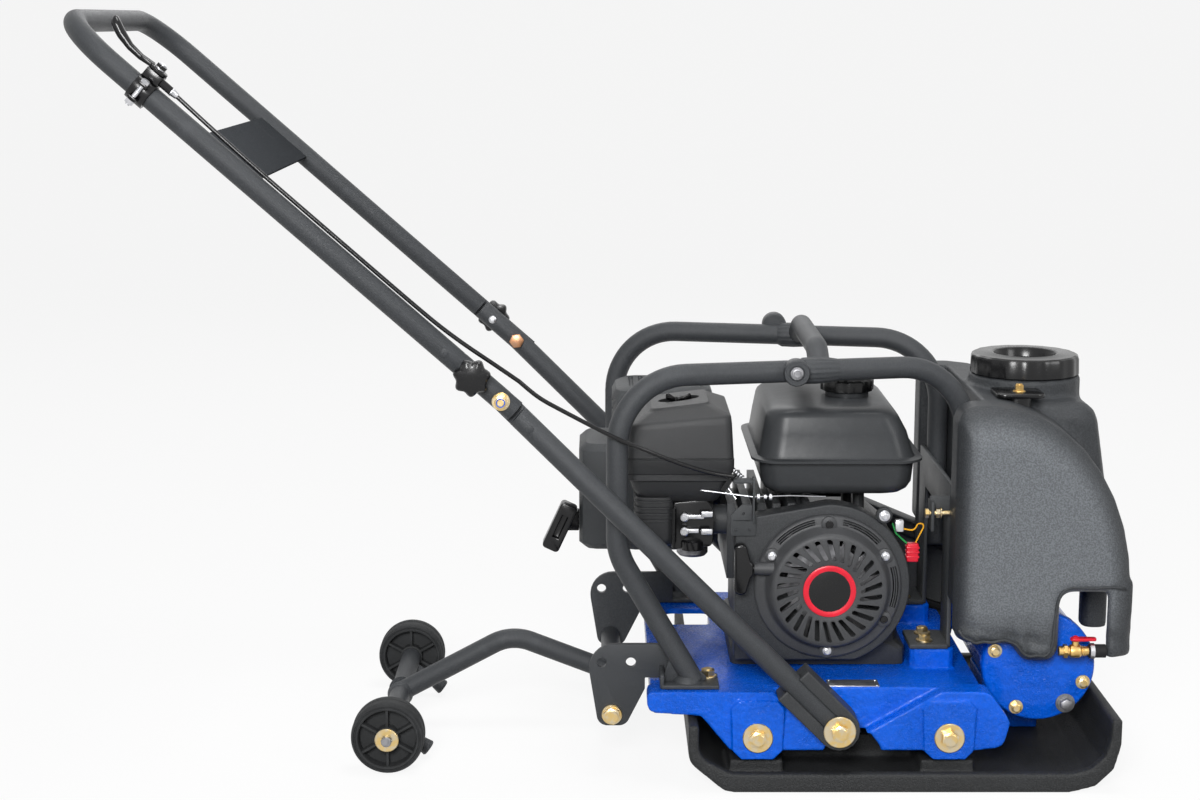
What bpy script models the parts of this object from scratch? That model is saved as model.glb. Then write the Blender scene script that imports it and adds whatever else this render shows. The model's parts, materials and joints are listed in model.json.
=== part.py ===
"""Plate compactor: vibrating base plate, engine console, cage, folding handle and transport wheels.

Metres, +Z up, +X forward; the origin lies under the middle of the base plate.
The right-hand side of the machine is -Y and the left-hand side is +Y.
"""
import math

import bmesh
import bpy
from mathutils import Matrix, Vector

# Clearances
GAP = 0.0003            # between pieces that touch
RUN = 0.0015            # between pieces that turn past each other
SINK = 0.0008           # overlap of shapes that are joined into one piece

# Tubes, bolts and washers
TUBE = 0.0254
ARM_TUBE = 0.022
BOLT = 0.012
WASHER = 0.037
WASHER_THICK = 0.003
BOLT_HEAD = 0.018
BOLT_HEAD_HEIGHT = 0.007
NUT_HEIGHT = 0.010
NUT_WIDTH = 0.0207
THREAD = 0.016          # bolt beyond the face that its nut sits on
SMALL_WASHER = 0.024

# Base plate
PLATE_LENGTH = 0.494
PLATE_WIDTH = 0.470
PLATE_THICK = 0.012
FRONT_LIP = 0.087
REAR_LIP = 0.080
FRONT_SWEEP = 0.055     # radius of the upturned front
REAR_TAPER = 0.043      # run of the slanted rear
REAR_KNEE = 0.036       # height of the slanted rear
RIM_HEIGHT = 0.022
RIM_WIDTH = 0.014
RIB_HEIGHT = 0.040

# Console: deck, side walls, lugs and the pockets that the handle feet sit in
BED_Z = 0.113
DECK_THICK = 0.026
SIDE_Y = 0.214          # outer face of the side walls
SIDE_THICK = 0.034
POCKET_DEPTH = 0.018
CONSOLE_REAR = -0.294
CONSOLE_NOSE = 0.124
DECK_FRONT = 0.092
BELT_NOTCH_X = 0.028
BELT_NOTCH_Y = 0.136
LUG_REAR_X = -0.167
LUG_FRONT_X = 0.053
LUG_Z = 0.060
LUG_WIDTH = 0.062
LUG_PROUD = 0.004
PAD_Z = 0.137           # top of the pads that carry the tank bracket

# Rubber mounts between the console lugs and the base plate
MOUNT = 0.042
MOUNT_LENGTH = 0.032
UPRIGHT_THICK = 0.012

# Exciter
EXCITER_X = 0.167
EXCITER_Z = 0.124
EXCITER = 0.124         # outer diameter of the housing
EXCITER_BORE = 0.092
EXCITER_RIGHT = 0.138
EXCITER_LEFT = 0.130
COVER_THICK = 0.012
COVER = 0.132
SHAFT = 0.030
BEARING_WIDTH = 0.018
ECCENTRIC = 0.056       # diameter of the eccentric weight
ECCENTRIC_OFFSET = 0.013

# Belt drive
BELT_Y = 0.158
BELT_WIDTH = 0.011
BELT_THICK = 0.008
DRUM = 0.080            # belt diameter on the clutch drum
PULLEY = 0.062          # belt diameter on the exciter pulley
FLANGE_STEP = 0.006
DRIVE_WIDTH = 0.022
GUARD_ROOM = 0.012
GUARD_WALL = 0.003

# Engine
CRANK_X = -0.082
CRANK_HEIGHT = 0.106    # above the bed
CRANK = 0.025
BLOCK_RIGHT = -0.108
BLOCK_LEFT = 0.104
BLOCK_REAR = -0.188
BLOCK_FRONT = 0.008
SHROUD = 0.194          # diameter of the fan shroud's round side
SHROUD_DEPTH = 0.030
SHROUD_REAR = -0.190
SHROUD_BORE = 0.158
FAN = 0.150
FAN_DEPTH = 0.018
FAN_BLADES = 12
RECOIL = 0.172
RECOIL_FACE = 0.134
RECOIL_DEPTH = 0.027
RECOIL_WALL = 0.003
RECOIL_SLOTS = 26
RECOIL_BOSS = 0.017      # width of the screw bosses on the rim
SLOT_WIDTH = 0.0055
ROPE = 0.0044
ROPE_REACH = 0.090
PULL_X = -0.176
PULL_HEIGHT = 0.052
PULL_Y = -0.1525
PULL_Z_ABOVE = 0.024    # rope above the crank

# Fuel tank and cap
TANK_REAR = -0.164
TANK_FRONT = 0.021
TANK_RIGHT = -0.142
TANK_LEFT = 0.088
TANK_BOTTOM = 0.324
TANK_SEAM = 0.368
TANK_TOP = 0.428
FLANGE = 0.0075
FUEL_CAP = 0.064
FUEL_CAP_X = -0.052
FUEL_CAP_Y = -0.040
FUEL_CAP_HEIGHT = 0.020

# Air cleaner, carburettor and muffler
CLEANER_REAR = -0.318
CLEANER_FRONT = -0.192
CLEANER_RIGHT = -0.142
CLEANER_LEFT = 0.006
CLEANER_SEAM = 0.352
CLEANER_TOP = 0.436
CLEANER_BOTTOM = 0.262
CLEANER_FALL = 0.016    # drop of the cover's top towards the rear
ELBOW_FRONT = -0.262
CARB_FRONT = -0.214
CARB_Y = -0.085
CARB_Z = 0.286
CARB = 0.050
MUFFLER_REAR = -0.374
MUFFLER_FRONT = -0.206
MUFFLER_RIGHT = 0.020
MUFFLER_LEFT = 0.140
MUFFLER_BOTTOM = 0.218
MUFFLER_TOP = 0.424
MUFFLER_STEP = 0.040     # the lower guard stands this far behind the box
MUFFLER_GUARD = 0.136

# Cage
CAGE_REAR_X = -0.3285
CAGE_REAR_Y = 0.184
CAGE_FRONT_X = 0.081
CAGE_FRONT_Y = 0.100
CAGE_TOP = 0.474
CAGE_KNEE = 0.270
CAGE_FOOT_X = -0.244
CAGE_END_Z = 0.300
CAGE_BEND = 0.080
FOOT_THICK = 0.005
FOOT_LENGTH = 0.066
FOOT_WIDTH = 0.042
LIFT_X = -0.095
LIFT_RISE = 0.020
BUMPER = 0.027
BUMPER_X = -0.124

# Wheel arm and hitch
HITCH_X = -0.334
HITCH_Z = 0.070
HITCH_Y = 0.164         # outer face of the hitch plates
HITCH_THICK = 0.007
HITCH_TOP = 0.155
AXLE_X = -0.597
AXLE_Z = 0.0435
WHEEL = 0.086
WHEEL_WIDTH = 0.034
WHEEL_Y = 0.160
WHEEL_SPOKES = 6
AXLE = 0.012
ARM_PEAK_X = -0.458
ARM_PEAK_Z = 0.118

# Handle
PIVOT_X = -0.075
PIVOT_Z = 0.073
LEG_LENGTH = 0.541
LEG_ANGLE = math.radians(45.0)
GRIP_LENGTH = 0.626
GRIP_ANGLE = math.radians(41.4)
GRIP_BEND = 0.070
TILT_STOP = math.radians(105.0)
BLOCK_BASE = 0.013      # foot block behind the tube
BLOCK_HALF = 0.024
BLOCK_LENGTH = 0.100
BLOCK_PROUD = 0.010     # foot block beyond the tube's middle
LAP_BELOW = 0.020       # overlap of the flattened tube ends, below and above the fold bolt
LAP_ABOVE = 0.062
KNOB_UP = 0.042
KNOB = 0.046
KNOB_DEPTH = 0.016
KNOB_LOBES = 7
SIGN_UP = 0.400         # middle of the flat plate, up from the fold bolt
SIGN_LENGTH = 0.076
SIGN_THICK = 0.004

# Throttle
CLAMP_BELOW_BEND = 0.042
CLAMP_LENGTH = 0.022
CLAMP_WALL = 0.004
LEVER_LENGTH = 0.078
LEVER_RISE = 0.026
LEVER_PAD = 0.016
CABLE = 0.0055

# Water tank, cap, bracket and valve
WATER_REAR = 0.061
WATER_FRONT = 0.267
WATER_SIDE = 0.185
WATER_TOP = 0.437
WATER_BOTTOM = 0.158
WATER_SUMP = 0.137
NECK = 0.098
NECK_TOP = 0.456
COLLAR = 0.134
COLLAR_TOP = 0.449
WATER_CAP = 0.131
WATER_CAP_X = 0.168
WATER_CAP_HEIGHT = 0.024
RECESS_HALF = 0.124
BRACKET_THICK = 0.005
BRACKET_HALF = 0.118
BRACKET_LEG = 0.048
BRACKET_TOP = 0.335
BRACKET_BAR = 0.045
BRACKET_REAR = 0.026
VALVE = 0.016
VALVE_Z = 0.150
VALVE_LENGTH = 0.034
HOSE = 0.016

# Places worked out from the sizes above
TUBE_R = TUBE / 2
CRANK_Z = BED_Z + CRANK_HEIGHT
POCKET_Y = SIDE_Y - POCKET_DEPTH
HANDLE_Y = POCKET_Y + GAP + BLOCK_BASE + TUBE_R
MOUNT_Y = SIDE_Y - SIDE_THICK - GAP
UPRIGHT_Y = MOUNT_Y - MOUNT_LENGTH - GAP
SHROUD_FACE = BLOCK_RIGHT - GAP - SHROUD_DEPTH
BRACKET_X = CAGE_FRONT_X - TUBE_R - GAP
CAGE_TAPER = (CAGE_FRONT_Y - CAGE_REAR_Y) / (CAGE_FRONT_X - CAGE_REAR_X)
PIVOT = Vector((PIVOT_X, 0, PIVOT_Z))
LEG_DIR = Vector((-math.cos(LEG_ANGLE), 0, math.sin(LEG_ANGLE)))
GRIP_DIR = Vector((-math.cos(GRIP_ANGLE), 0, math.sin(GRIP_ANGLE)))
GRIP_NORMAL = Vector((math.sin(GRIP_ANGLE), 0, math.cos(GRIP_ANGLE)))
FOLD = PIVOT + LEG_DIR * LEG_LENGTH
HITCH = Vector((HITCH_X, 0, HITCH_Z))
CLAMP_UP = GRIP_LENGTH - GRIP_BEND - CLAMP_BELOW_BEND
ALONG_Y = Matrix.Rotation(math.radians(-90), 4, "X")
ALONG_X = Matrix.Rotation(math.radians(90), 4, "Y")
FACING_Y = Matrix(((1, 0, 0, 0), (0, 0, -1, 0), (0, 1, 0, 0), (0, 0, 0, 1)))
FACING_X = Matrix(((0, 0, 1, 0), (1, 0, 0, 0), (0, 1, 0, 0), (0, 0, 0, 1)))
SIDES = (("right", -1), ("left", 1))

for old in list(bpy.data.objects):
    bpy.data.objects.remove(old, do_unlink=True)
PARTS = bpy.data.collections.new("plate_compactor")
CUTTERS = bpy.data.collections.new("plate_compactor_cutters")
bpy.context.scene.collection.children.link(PARTS)
bpy.context.scene.collection.children.link(CUTTERS)


def finish(name, colour, roughness, metallic):
    """A plain Principled material."""
    made = bpy.data.materials.new(name)
    made.use_nodes = True
    shader = made.node_tree.nodes["Principled BSDF"]
    shader.inputs["Base Color"].default_value = (*colour, 1.0)
    shader.inputs["Roughness"].default_value = roughness
    shader.inputs["Metallic"].default_value = metallic
    return made


BLACK_PAINT = finish("black_paint", (0.035, 0.036, 0.038), 0.55, 0.0)
BLUE_PAINT = finish("blue_paint", (0.010, 0.085, 0.55), 0.28, 0.0)
CAST_BLACK = finish("cast_black", (0.022, 0.023, 0.024), 0.65, 0.0)
BLACK_PLASTIC = finish("black_plastic", (0.020, 0.020, 0.021), 0.50, 0.0)
GLOSS_PLASTIC = finish("gloss_plastic", (0.010, 0.010, 0.011), 0.18, 0.0)
RUBBER = finish("rubber", (0.016, 0.016, 0.017), 0.75, 0.0)
STEEL = finish("steel", (0.55, 0.55, 0.56), 0.32, 1.0)
YELLOW_ZINC = finish("yellow_zinc", (0.66, 0.50, 0.25), 0.32, 1.0)
BRASS = finish("brass", (0.72, 0.52, 0.22), 0.30, 1.0)
RED_PLASTIC = finish("red_plastic", (0.55, 0.02, 0.03), 0.35, 0.0)


def keep(name, mesh, material, origin=(0, 0, 0)):
    """Puts a mesh, drawn in world places, into the parts with its origin at the given place."""
    origin = Vector(origin)
    mesh.name = name
    mesh.transform(Matrix.Translation(-origin))
    mesh.materials.clear()
    mesh.materials.append(material)
    mesh.shade_smooth()
    mesh.set_sharp_from_angle(angle=math.radians(32))
    thing = bpy.data.objects.new(name, mesh)
    thing.location = origin
    PARTS.objects.link(thing)
    return thing


def shape(thing, tool_mesh, operation):
    """Adds a Boolean whose second shape is a hidden object."""
    tool = bpy.data.objects.new(thing.name + "_" + operation.lower(), tool_mesh)
    tool.hide_render = True
    tool.display_type = "WIRE"
    CUTTERS.objects.link(tool)
    step = thing.modifiers.new(operation.title(), "BOOLEAN")
    step.operation = operation
    step.solver = "EXACT"
    step.object = tool


def cut(thing, *meshes):
    for mesh in meshes:
        shape(thing, mesh, "DIFFERENCE")


def join(thing, *meshes):
    for mesh in meshes:
        shape(thing, mesh, "UNION")


def soften(thing, width, segments=1, angle=40):
    """Rounded edges."""
    step = thing.modifiers.new("Rounded edges", "BEVEL")
    step.width = width
    step.segments = segments
    step.limit_method = "ANGLE"
    step.angle_limit = math.radians(angle)


def meshed(thing):
    """The evaluated mesh of a helper object, which is then removed."""
    bpy.context.scene.collection.objects.link(thing)
    graph = bpy.context.evaluated_depsgraph_get()
    mesh = bpy.data.meshes.new_from_object(thing.evaluated_get(graph))
    mesh.transform(thing.matrix_world)
    bpy.data.objects.remove(thing, do_unlink=True)
    work = bmesh.new()
    work.from_mesh(mesh)
    bmesh.ops.remove_doubles(work, verts=work.verts, dist=0.00001)
    work.to_mesh(mesh)
    work.free()
    return mesh


def box(low, high):
    """A block between two corners."""
    low, high = Vector(low), Vector(high)
    mesh = bpy.data.meshes.new("box")
    work = bmesh.new()
    bmesh.ops.create_cube(work, size=1.0)
    bmesh.ops.scale(work, vec=high - low, verts=work.verts)
    bmesh.ops.translate(work, vec=(low + high) / 2, verts=work.verts)
    work.to_mesh(mesh)
    work.free()
    return mesh


def rod(start, end, diameter, sides=16, end_diameter=None):
    """A round bar or a cone between two points."""
    start, end = Vector(start), Vector(end)
    run = end - start
    turn = Vector((0, 0, 1)).rotation_difference(run).to_matrix().to_4x4()
    mesh = bpy.data.meshes.new("rod")
    work = bmesh.new()
    tip = diameter if end_diameter is None else end_diameter
    bmesh.ops.create_cone(work, cap_ends=True, segments=sides, radius1=diameter / 2,
                          radius2=tip / 2, depth=run.length)
    work.to_mesh(mesh)
    work.free()
    mesh.transform(Matrix.Translation((start + end) / 2) @ turn)
    return mesh


def bore_for(diameter, sides):
    """Width across the corners of a bore whose flats still clear a bar of this diameter."""
    return (diameter + 2 * GAP) / math.cos(math.pi / sides)


def rounded(corners, steps=4):
    """An outline through corners (u, v, radius), each turned as an arc."""
    points = []
    count = len(corners)
    for index, (u, v, radius) in enumerate(corners):
        here = Vector((u, v))
        if radius <= 0:
            points.append(here)
            continue
        before, after = corners[index - 1], corners[(index + 1) % count]
        back = Vector(before[:2]) - here
        ahead = Vector(after[:2]) - here
        half = back.angle(ahead) / 2
        back_room = back.length * (0.48 if before[2] else 0.98)
        ahead_room = ahead.length * (0.48 if after[2] else 0.98)
        reach = min(radius / math.tan(half), back_room, ahead_room)
        true_radius = reach * math.tan(half)
        middle = (back.normalized() + ahead.normalized()).normalized()
        centre = here + middle * (true_radius / math.sin(half))
        spoke = here + back.normalized() * reach - centre
        last = here + ahead.normalized() * reach - centre
        turn = math.atan2(spoke.cross(last), spoke.dot(last))
        for step in range(steps + 1):
            swing = Matrix.Rotation(turn * step / steps, 2)
            points.append(centre + swing @ spoke)
    return points


def circle(u, v, diameter, sides=16, start=0.0):
    return [Vector((u + diameter / 2 * math.cos(start + math.tau * i / sides),
                    v + diameter / 2 * math.sin(start + math.tau * i / sides))) for i in range(sides)]


def slab(outlines, thickness, frame):
    """Flat outlines, the first with the rest as holes or further islands, with a thickness."""
    curve = bpy.data.curves.new("slab", "CURVE")
    curve.dimensions = "2D"
    curve.fill_mode = "BOTH"
    curve.extrude = thickness / 2
    for outline in outlines:
        spline = curve.splines.new("POLY")
        spline.points.add(len(outline) - 1)
        for point, place in zip(spline.points, outline):
            point.co = (place[0], place[1], 0, 1)
        spline.use_cyclic_u = True
    mesh = meshed(bpy.data.objects.new("slab", curve))
    mesh.transform(frame)
    return mesh


def wall_slab(outlines, y_low, y_high):
    """Outlines drawn in X and Z, between two places across the machine."""
    frame = Matrix.Translation((0, (y_low + y_high) / 2, 0)) @ FACING_Y
    return slab(outlines, y_high - y_low, frame)


def flat_slab(outlines, z_low, z_high):
    """Outlines drawn in X and Y, between two heights."""
    return slab(outlines, z_high - z_low, Matrix.Translation((0, 0, (z_low + z_high) / 2)))


def bent(corners, steps=3):
    """A path through corners (point, bend radius)."""
    points = []
    for index, (place, radius) in enumerate(corners):
        here = Vector(place)
        if radius <= 0:
            points.append(here)
            continue
        back = (Vector(corners[index - 1][0]) - here).normalized()
        ahead = (Vector(corners[index + 1][0]) - here).normalized()
        half = back.angle(ahead) / 2
        reach = radius / math.tan(half)
        centre = here + (back + ahead).normalized() * (radius / math.sin(half))
        spoke = here + back * reach - centre
        last = here + ahead * reach - centre
        axis = spoke.cross(last).normalized()
        turn = spoke.angle(last)
        for step in range(steps + 1):
            points.append(centre + Matrix.Rotation(turn * step / steps, 3, axis) @ spoke)
    return points


def pipe(path, diameter, resolution=3):
    """A solid round bar along a path."""
    curve = bpy.data.curves.new("pipe", "CURVE")
    curve.dimensions = "3D"
    curve.bevel_depth = diameter / 2
    curve.bevel_resolution = resolution
    curve.use_fill_caps = True
    spline = curve.splines.new("POLY")
    spline.points.add(len(path) - 1)
    for point, place in zip(spline.points, path):
        point.co = (*place, 1)
    return meshed(bpy.data.objects.new("pipe", curve))


def turned(profile, frame, steps=24):
    """A turned shape; the profile (radius, height) runs down its outer side, top to bottom."""
    mesh = bpy.data.meshes.new("profile")
    closed = profile[0][0] > 0
    edges = [(i, i + 1) for i in range(len(profile) - 1)]
    if closed:
        edges.append((len(profile) - 1, 0))
    mesh.from_pydata([(radius, 0, height) for radius, height in profile], edges, [])
    thing = bpy.data.objects.new("turned", mesh)
    screw = thing.modifiers.new("Turn", "SCREW")
    screw.steps = steps
    screw.render_steps = steps
    screw.use_merge_vertices = True
    screw.merge_threshold = 0.00001
    made = meshed(thing)
    made.transform(frame)
    return made


def stack(sections, steps=3):
    """A moulded body: rounded rectangles (z, x low, x high, y low, y high, radius), bottom to top."""
    mesh = bpy.data.meshes.new("stack")
    work = bmesh.new()
    rings = []
    for z, x_low, x_high, y_low, y_high, radius in sections:
        corners = [(x_low, y_low, radius), (x_high, y_low, radius),
                   (x_high, y_high, radius), (x_low, y_high, radius)]
        rings.append([work.verts.new((u, v, z)) for u, v in rounded(corners, steps)])
    for lower, upper in zip(rings, rings[1:]):
        for i in range(len(lower)):
            j = (i + 1) % len(lower)
            work.faces.new((lower[i], lower[j], upper[j], upper[i]))
    work.faces.new(list(reversed(rings[0])))
    work.faces.new(rings[-1])
    work.to_mesh(mesh)
    work.free()
    return mesh


def bolt(tip, seat, shank, washer=WASHER):
    """A bolt from its tip to the seat of its washer, with a hexagon head on the washer."""
    tip, seat = Vector(tip), Vector(seat)
    way = (seat - tip).normalized()
    height = (seat - tip).length
    profile = [(0, height + WASHER_THICK), (washer / 2, height + WASHER_THICK), (washer / 2, height),
               (shank / 2, height), (shank / 2, 0), (0, 0)]
    frame = Matrix.Translation(tip) @ Vector((0, 0, 1)).rotation_difference(way).to_matrix().to_4x4()
    return turned(profile, frame, 11), hexagon_head(seat + way * WASHER_THICK, way)


def hexagon_head(seat, way, width=BOLT_HEAD, height=BOLT_HEAD_HEIGHT):
    seat, way = Vector(seat), Vector(way)
    return rod(seat - way * SINK, seat + way * height, width * 2 / math.sqrt(3), 6)


def base_plate():
    """Cast plate with an upturned front, a slanted rear, low side rims and four mount uprights."""
    half = PLATE_LENGTH / 2
    side = PLATE_WIDTH / 2
    above = max(FRONT_LIP, REAR_LIP) + TUBE

    def tray(wall, floor, top_rear, top_front):
        knee = REAR_KNEE if floor < RIM_HEIGHT else max(REAR_KNEE, floor + PLATE_THICK)
        return rounded([(-half + wall, top_rear, 0), (-half + wall, knee + wall / 2, 0.020),
                        (-half + REAR_TAPER + wall / 2, floor, 0.020),
                        (half - wall, floor, FRONT_SWEEP - wall), (half - wall, top_front, 0)], 3)

    plate = keep("base_plate", wall_slab([tray(0, 0, REAR_LIP, FRONT_LIP)], -side, side), CAST_BLACK)
    cut(plate, wall_slab([tray(PLATE_THICK, RIM_HEIGHT, above, above)], -side - TUBE, side + TUBE))
    cut(plate, wall_slab([tray(PLATE_THICK + GAP, PLATE_THICK, above, above)], -side + RIM_WIDTH,
                         side - RIM_WIDTH))
    inner = UPRIGHT_Y - UPRIGHT_THICK
    base_top = LUG_Z - MOUNT / 2 - 0.010
    top = LUG_Z + MOUNT / 2 + 0.003
    for _, way in SIDES:
        angle_bar = [(inner, PLATE_THICK - SINK), (SIDE_Y - 0.008, PLATE_THICK - SINK),
                     (SIDE_Y - 0.008, base_top),
                     (UPRIGHT_Y, base_top), (UPRIGHT_Y, top - 0.010), (UPRIGHT_Y - 0.003, top),
                     (inner, top)]
        outline = [(way * y, z) for y, z in angle_bar]
        for x in (LUG_REAR_X, LUG_FRONT_X):
            join(plate, slab([outline], LUG_WIDTH, Matrix.Translation((x, 0, 0)) @ FACING_X))
        rib = sorted((way * (inner + SINK), way * (UPRIGHT_Y - SINK)))
        join(plate, box((LUG_REAR_X, rib[0], PLATE_THICK - SINK), (LUG_FRONT_X, rib[1], RIB_HEIGHT)))


def exciter():
    """Round housing with its bearings, eccentric shaft and end covers."""
    centre = (EXCITER_X, 0, EXCITER_Z)
    frame = Matrix.Translation(centre) @ ALONG_Y
    outer, bore, rim = EXCITER / 2, EXCITER_BORE / 2, COVER / 2
    collar = BEARING_WIDTH / 2
    profile = [(rim, EXCITER_LEFT), (rim, EXCITER_LEFT - collar), (outer, EXCITER_LEFT - collar - 0.003),
               (outer, -EXCITER_RIGHT + collar + 0.003), (rim, -EXCITER_RIGHT + collar),
               (rim, -EXCITER_RIGHT),
               (bore, -EXCITER_RIGHT), (bore, EXCITER_LEFT)]
    housing = keep("exciter_housing", turned(profile, frame, 20), BLUE_PAINT)
    foot_front = PLATE_LENGTH / 2 - FRONT_SWEEP - RUN
    foot_top = EXCITER_Z - bore - 0.003
    lip = PLATE_LENGTH / 2 - PLATE_THICK - 3 * GAP
    wall_middle = (outer + bore) / 2

    def on_wall(degrees):
        turn = math.radians(degrees)
        return (EXCITER_X + wall_middle * math.cos(turn), EXCITER_Z + wall_middle * math.sin(turn))

    rib = [on_wall(20), on_wall(-28), (lip, FRONT_LIP - 0.020), (lip, on_wall(20)[1])]
    foot = SHAFT * 1.5
    join(housing, box((EXCITER_X - foot, -foot, PLATE_THICK + GAP), (foot_front, foot, foot_top)))
    for _, way in SIDES:
        stay = sorted((way * 0.050, way * 0.078))
        join(housing, wall_slab([rib], stay[0], stay[1]))

    right_face = -EXCITER_RIGHT - GAP
    left_face = EXCITER_LEFT + GAP
    cover = [(0, right_face), (rim, right_face), (rim, right_face - COVER_THICK + 0.002),
             (rim - 0.002, right_face - COVER_THICK), (0, right_face - COVER_THICK)]
    keep("exciter_cover_right", turned(cover, frame, 20), BLUE_PAINT)
    hole = SHAFT / 2 + RUN
    ring = [(rim, left_face + COVER_THICK), (rim, left_face), (hole, left_face),
            (hole, left_face + COVER_THICK)]
    keep("exciter_cover_left", turned(ring, frame, 20), BLUE_PAINT)

    seat = bore - GAP
    for name, low in (("right", -EXCITER_RIGHT + 0.006), ("left", EXCITER_LEFT - 0.006 - BEARING_WIDTH)):
        race = [(seat, low + BEARING_WIDTH), (seat, low), (SHAFT / 2 + GAP, low),
                (SHAFT / 2 + GAP, low + BEARING_WIDTH)]
        keep("bearing_" + name, turned(race, frame, 20), STEEL)

    shaft_end = BELT_Y + DRIVE_WIDTH / 2 + RUN
    shaft = keep("eccentric_shaft", rod((EXCITER_X, -EXCITER_RIGHT + 0.003, EXCITER_Z),
                                        (EXCITER_X, shaft_end, EXCITER_Z), SHAFT, 16), STEEL, centre)
    clear = 0.006 + BEARING_WIDTH + 0.006
    weight_z = EXCITER_Z - ECCENTRIC_OFFSET
    join(shaft, rod((EXCITER_X, -EXCITER_RIGHT + clear, weight_z),
                    (EXCITER_X, EXCITER_LEFT - clear, weight_z), ECCENTRIC, 16))


def grooved(belt_radius, bore):
    """Profile of a belt wheel, round its axis and about its middle."""
    flange = belt_radius + FLANGE_STEP
    half = DRIVE_WIDTH / 2
    groove = BELT_WIDTH / 2 + RUN
    return [(flange, half), (flange, groove + 0.002), (belt_radius, groove), (belt_radius, -groove),
            (flange, -groove - 0.002), (flange, -half), (bore, -half), (bore, half)]


def belt_line(extra, steps=8):
    """Outline round the clutch drum and the exciter pulley, so far outside their belt circles."""
    big = Vector((CRANK_X, CRANK_Z))
    small = Vector((EXCITER_X, EXCITER_Z))
    big_radius = DRUM / 2 + extra
    small_radius = PULLEY / 2 + extra
    way = small - big
    heading = math.atan2(way.y, way.x)
    lean = math.acos((big_radius - small_radius) / way.length)
    points = []
    for step in range(steps + 1):
        turn = heading + lean + (math.tau - 2 * lean) * step / steps
        points.append(big + big_radius * Vector((math.cos(turn), math.sin(turn))))
    for step in range(steps + 1):
        turn = heading - lean + 2 * lean * step / steps
        points.append(small + small_radius * Vector((math.cos(turn), math.sin(turn))))
    return points


def belt_drive():
    """Clutch drum, pulley, belt and the guard over them."""
    crank = (CRANK_X, BELT_Y, CRANK_Z)
    keep("clutch_drum", turned(grooved(DRUM / 2, CRANK / 2 + GAP), Matrix.Translation(crank) @ ALONG_Y, 16),
         STEEL, (CRANK_X, 0, CRANK_Z))
    wheel = (EXCITER_X, BELT_Y, EXCITER_Z)
    keep("exciter_pulley",
         turned(grooved(PULLEY / 2, SHAFT / 2 + GAP), Matrix.Translation(wheel) @ ALONG_Y, 16),
         STEEL, (EXCITER_X, 0, EXCITER_Z))
    keep("drive_belt", wall_slab([belt_line(BELT_THICK), belt_line(0.001)], BELT_Y - BELT_WIDTH / 2,
                                 BELT_Y + BELT_WIDTH / 2), RUBBER)
    inner = EXCITER_LEFT + COVER_THICK + 3 * GAP
    outer = SIDE_Y - SIDE_THICK - 3 * GAP
    guard = keep("belt_guard", wall_slab([belt_line(BELT_THICK + GUARD_ROOM + GUARD_WALL)], inner, outer),
                 BLACK_PAINT)
    cut(guard, wall_slab([belt_line(BELT_THICK + GUARD_ROOM)], inner - TUBE, outer - GUARD_WALL))
    share = 0.28
    x = CRANK_X + share * (EXCITER_X - CRANK_X)
    z = CRANK_Z + share * (EXCITER_Z - CRANK_Z)
    join(guard, rod((x, BLOCK_LEFT + GAP, z), (x, outer - GUARD_WALL / 2, z), 0.016, 12))


def pocket():
    """The wedge that a handle foot swings in, between its rear and its forward stop."""
    reach = BLOCK_HALF + GAP
    far = 0.25
    rear_way = Vector((LEG_DIR.x, LEG_DIR.z))
    front_way = Matrix.Rotation(-TILT_STOP, 2) @ rear_way
    pivot = Vector((PIVOT_X, PIVOT_Z))
    rear_start = pivot + reach * Vector((-rear_way.y, rear_way.x))
    front_start = pivot + reach * Vector((front_way.y, -front_way.x))
    span = front_start - rear_start
    along = span.cross(front_way) / rear_way.cross(front_way)
    apex = rear_start + rear_way * along
    return [apex, front_start + front_way * far, rear_start + rear_way * far]


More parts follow.
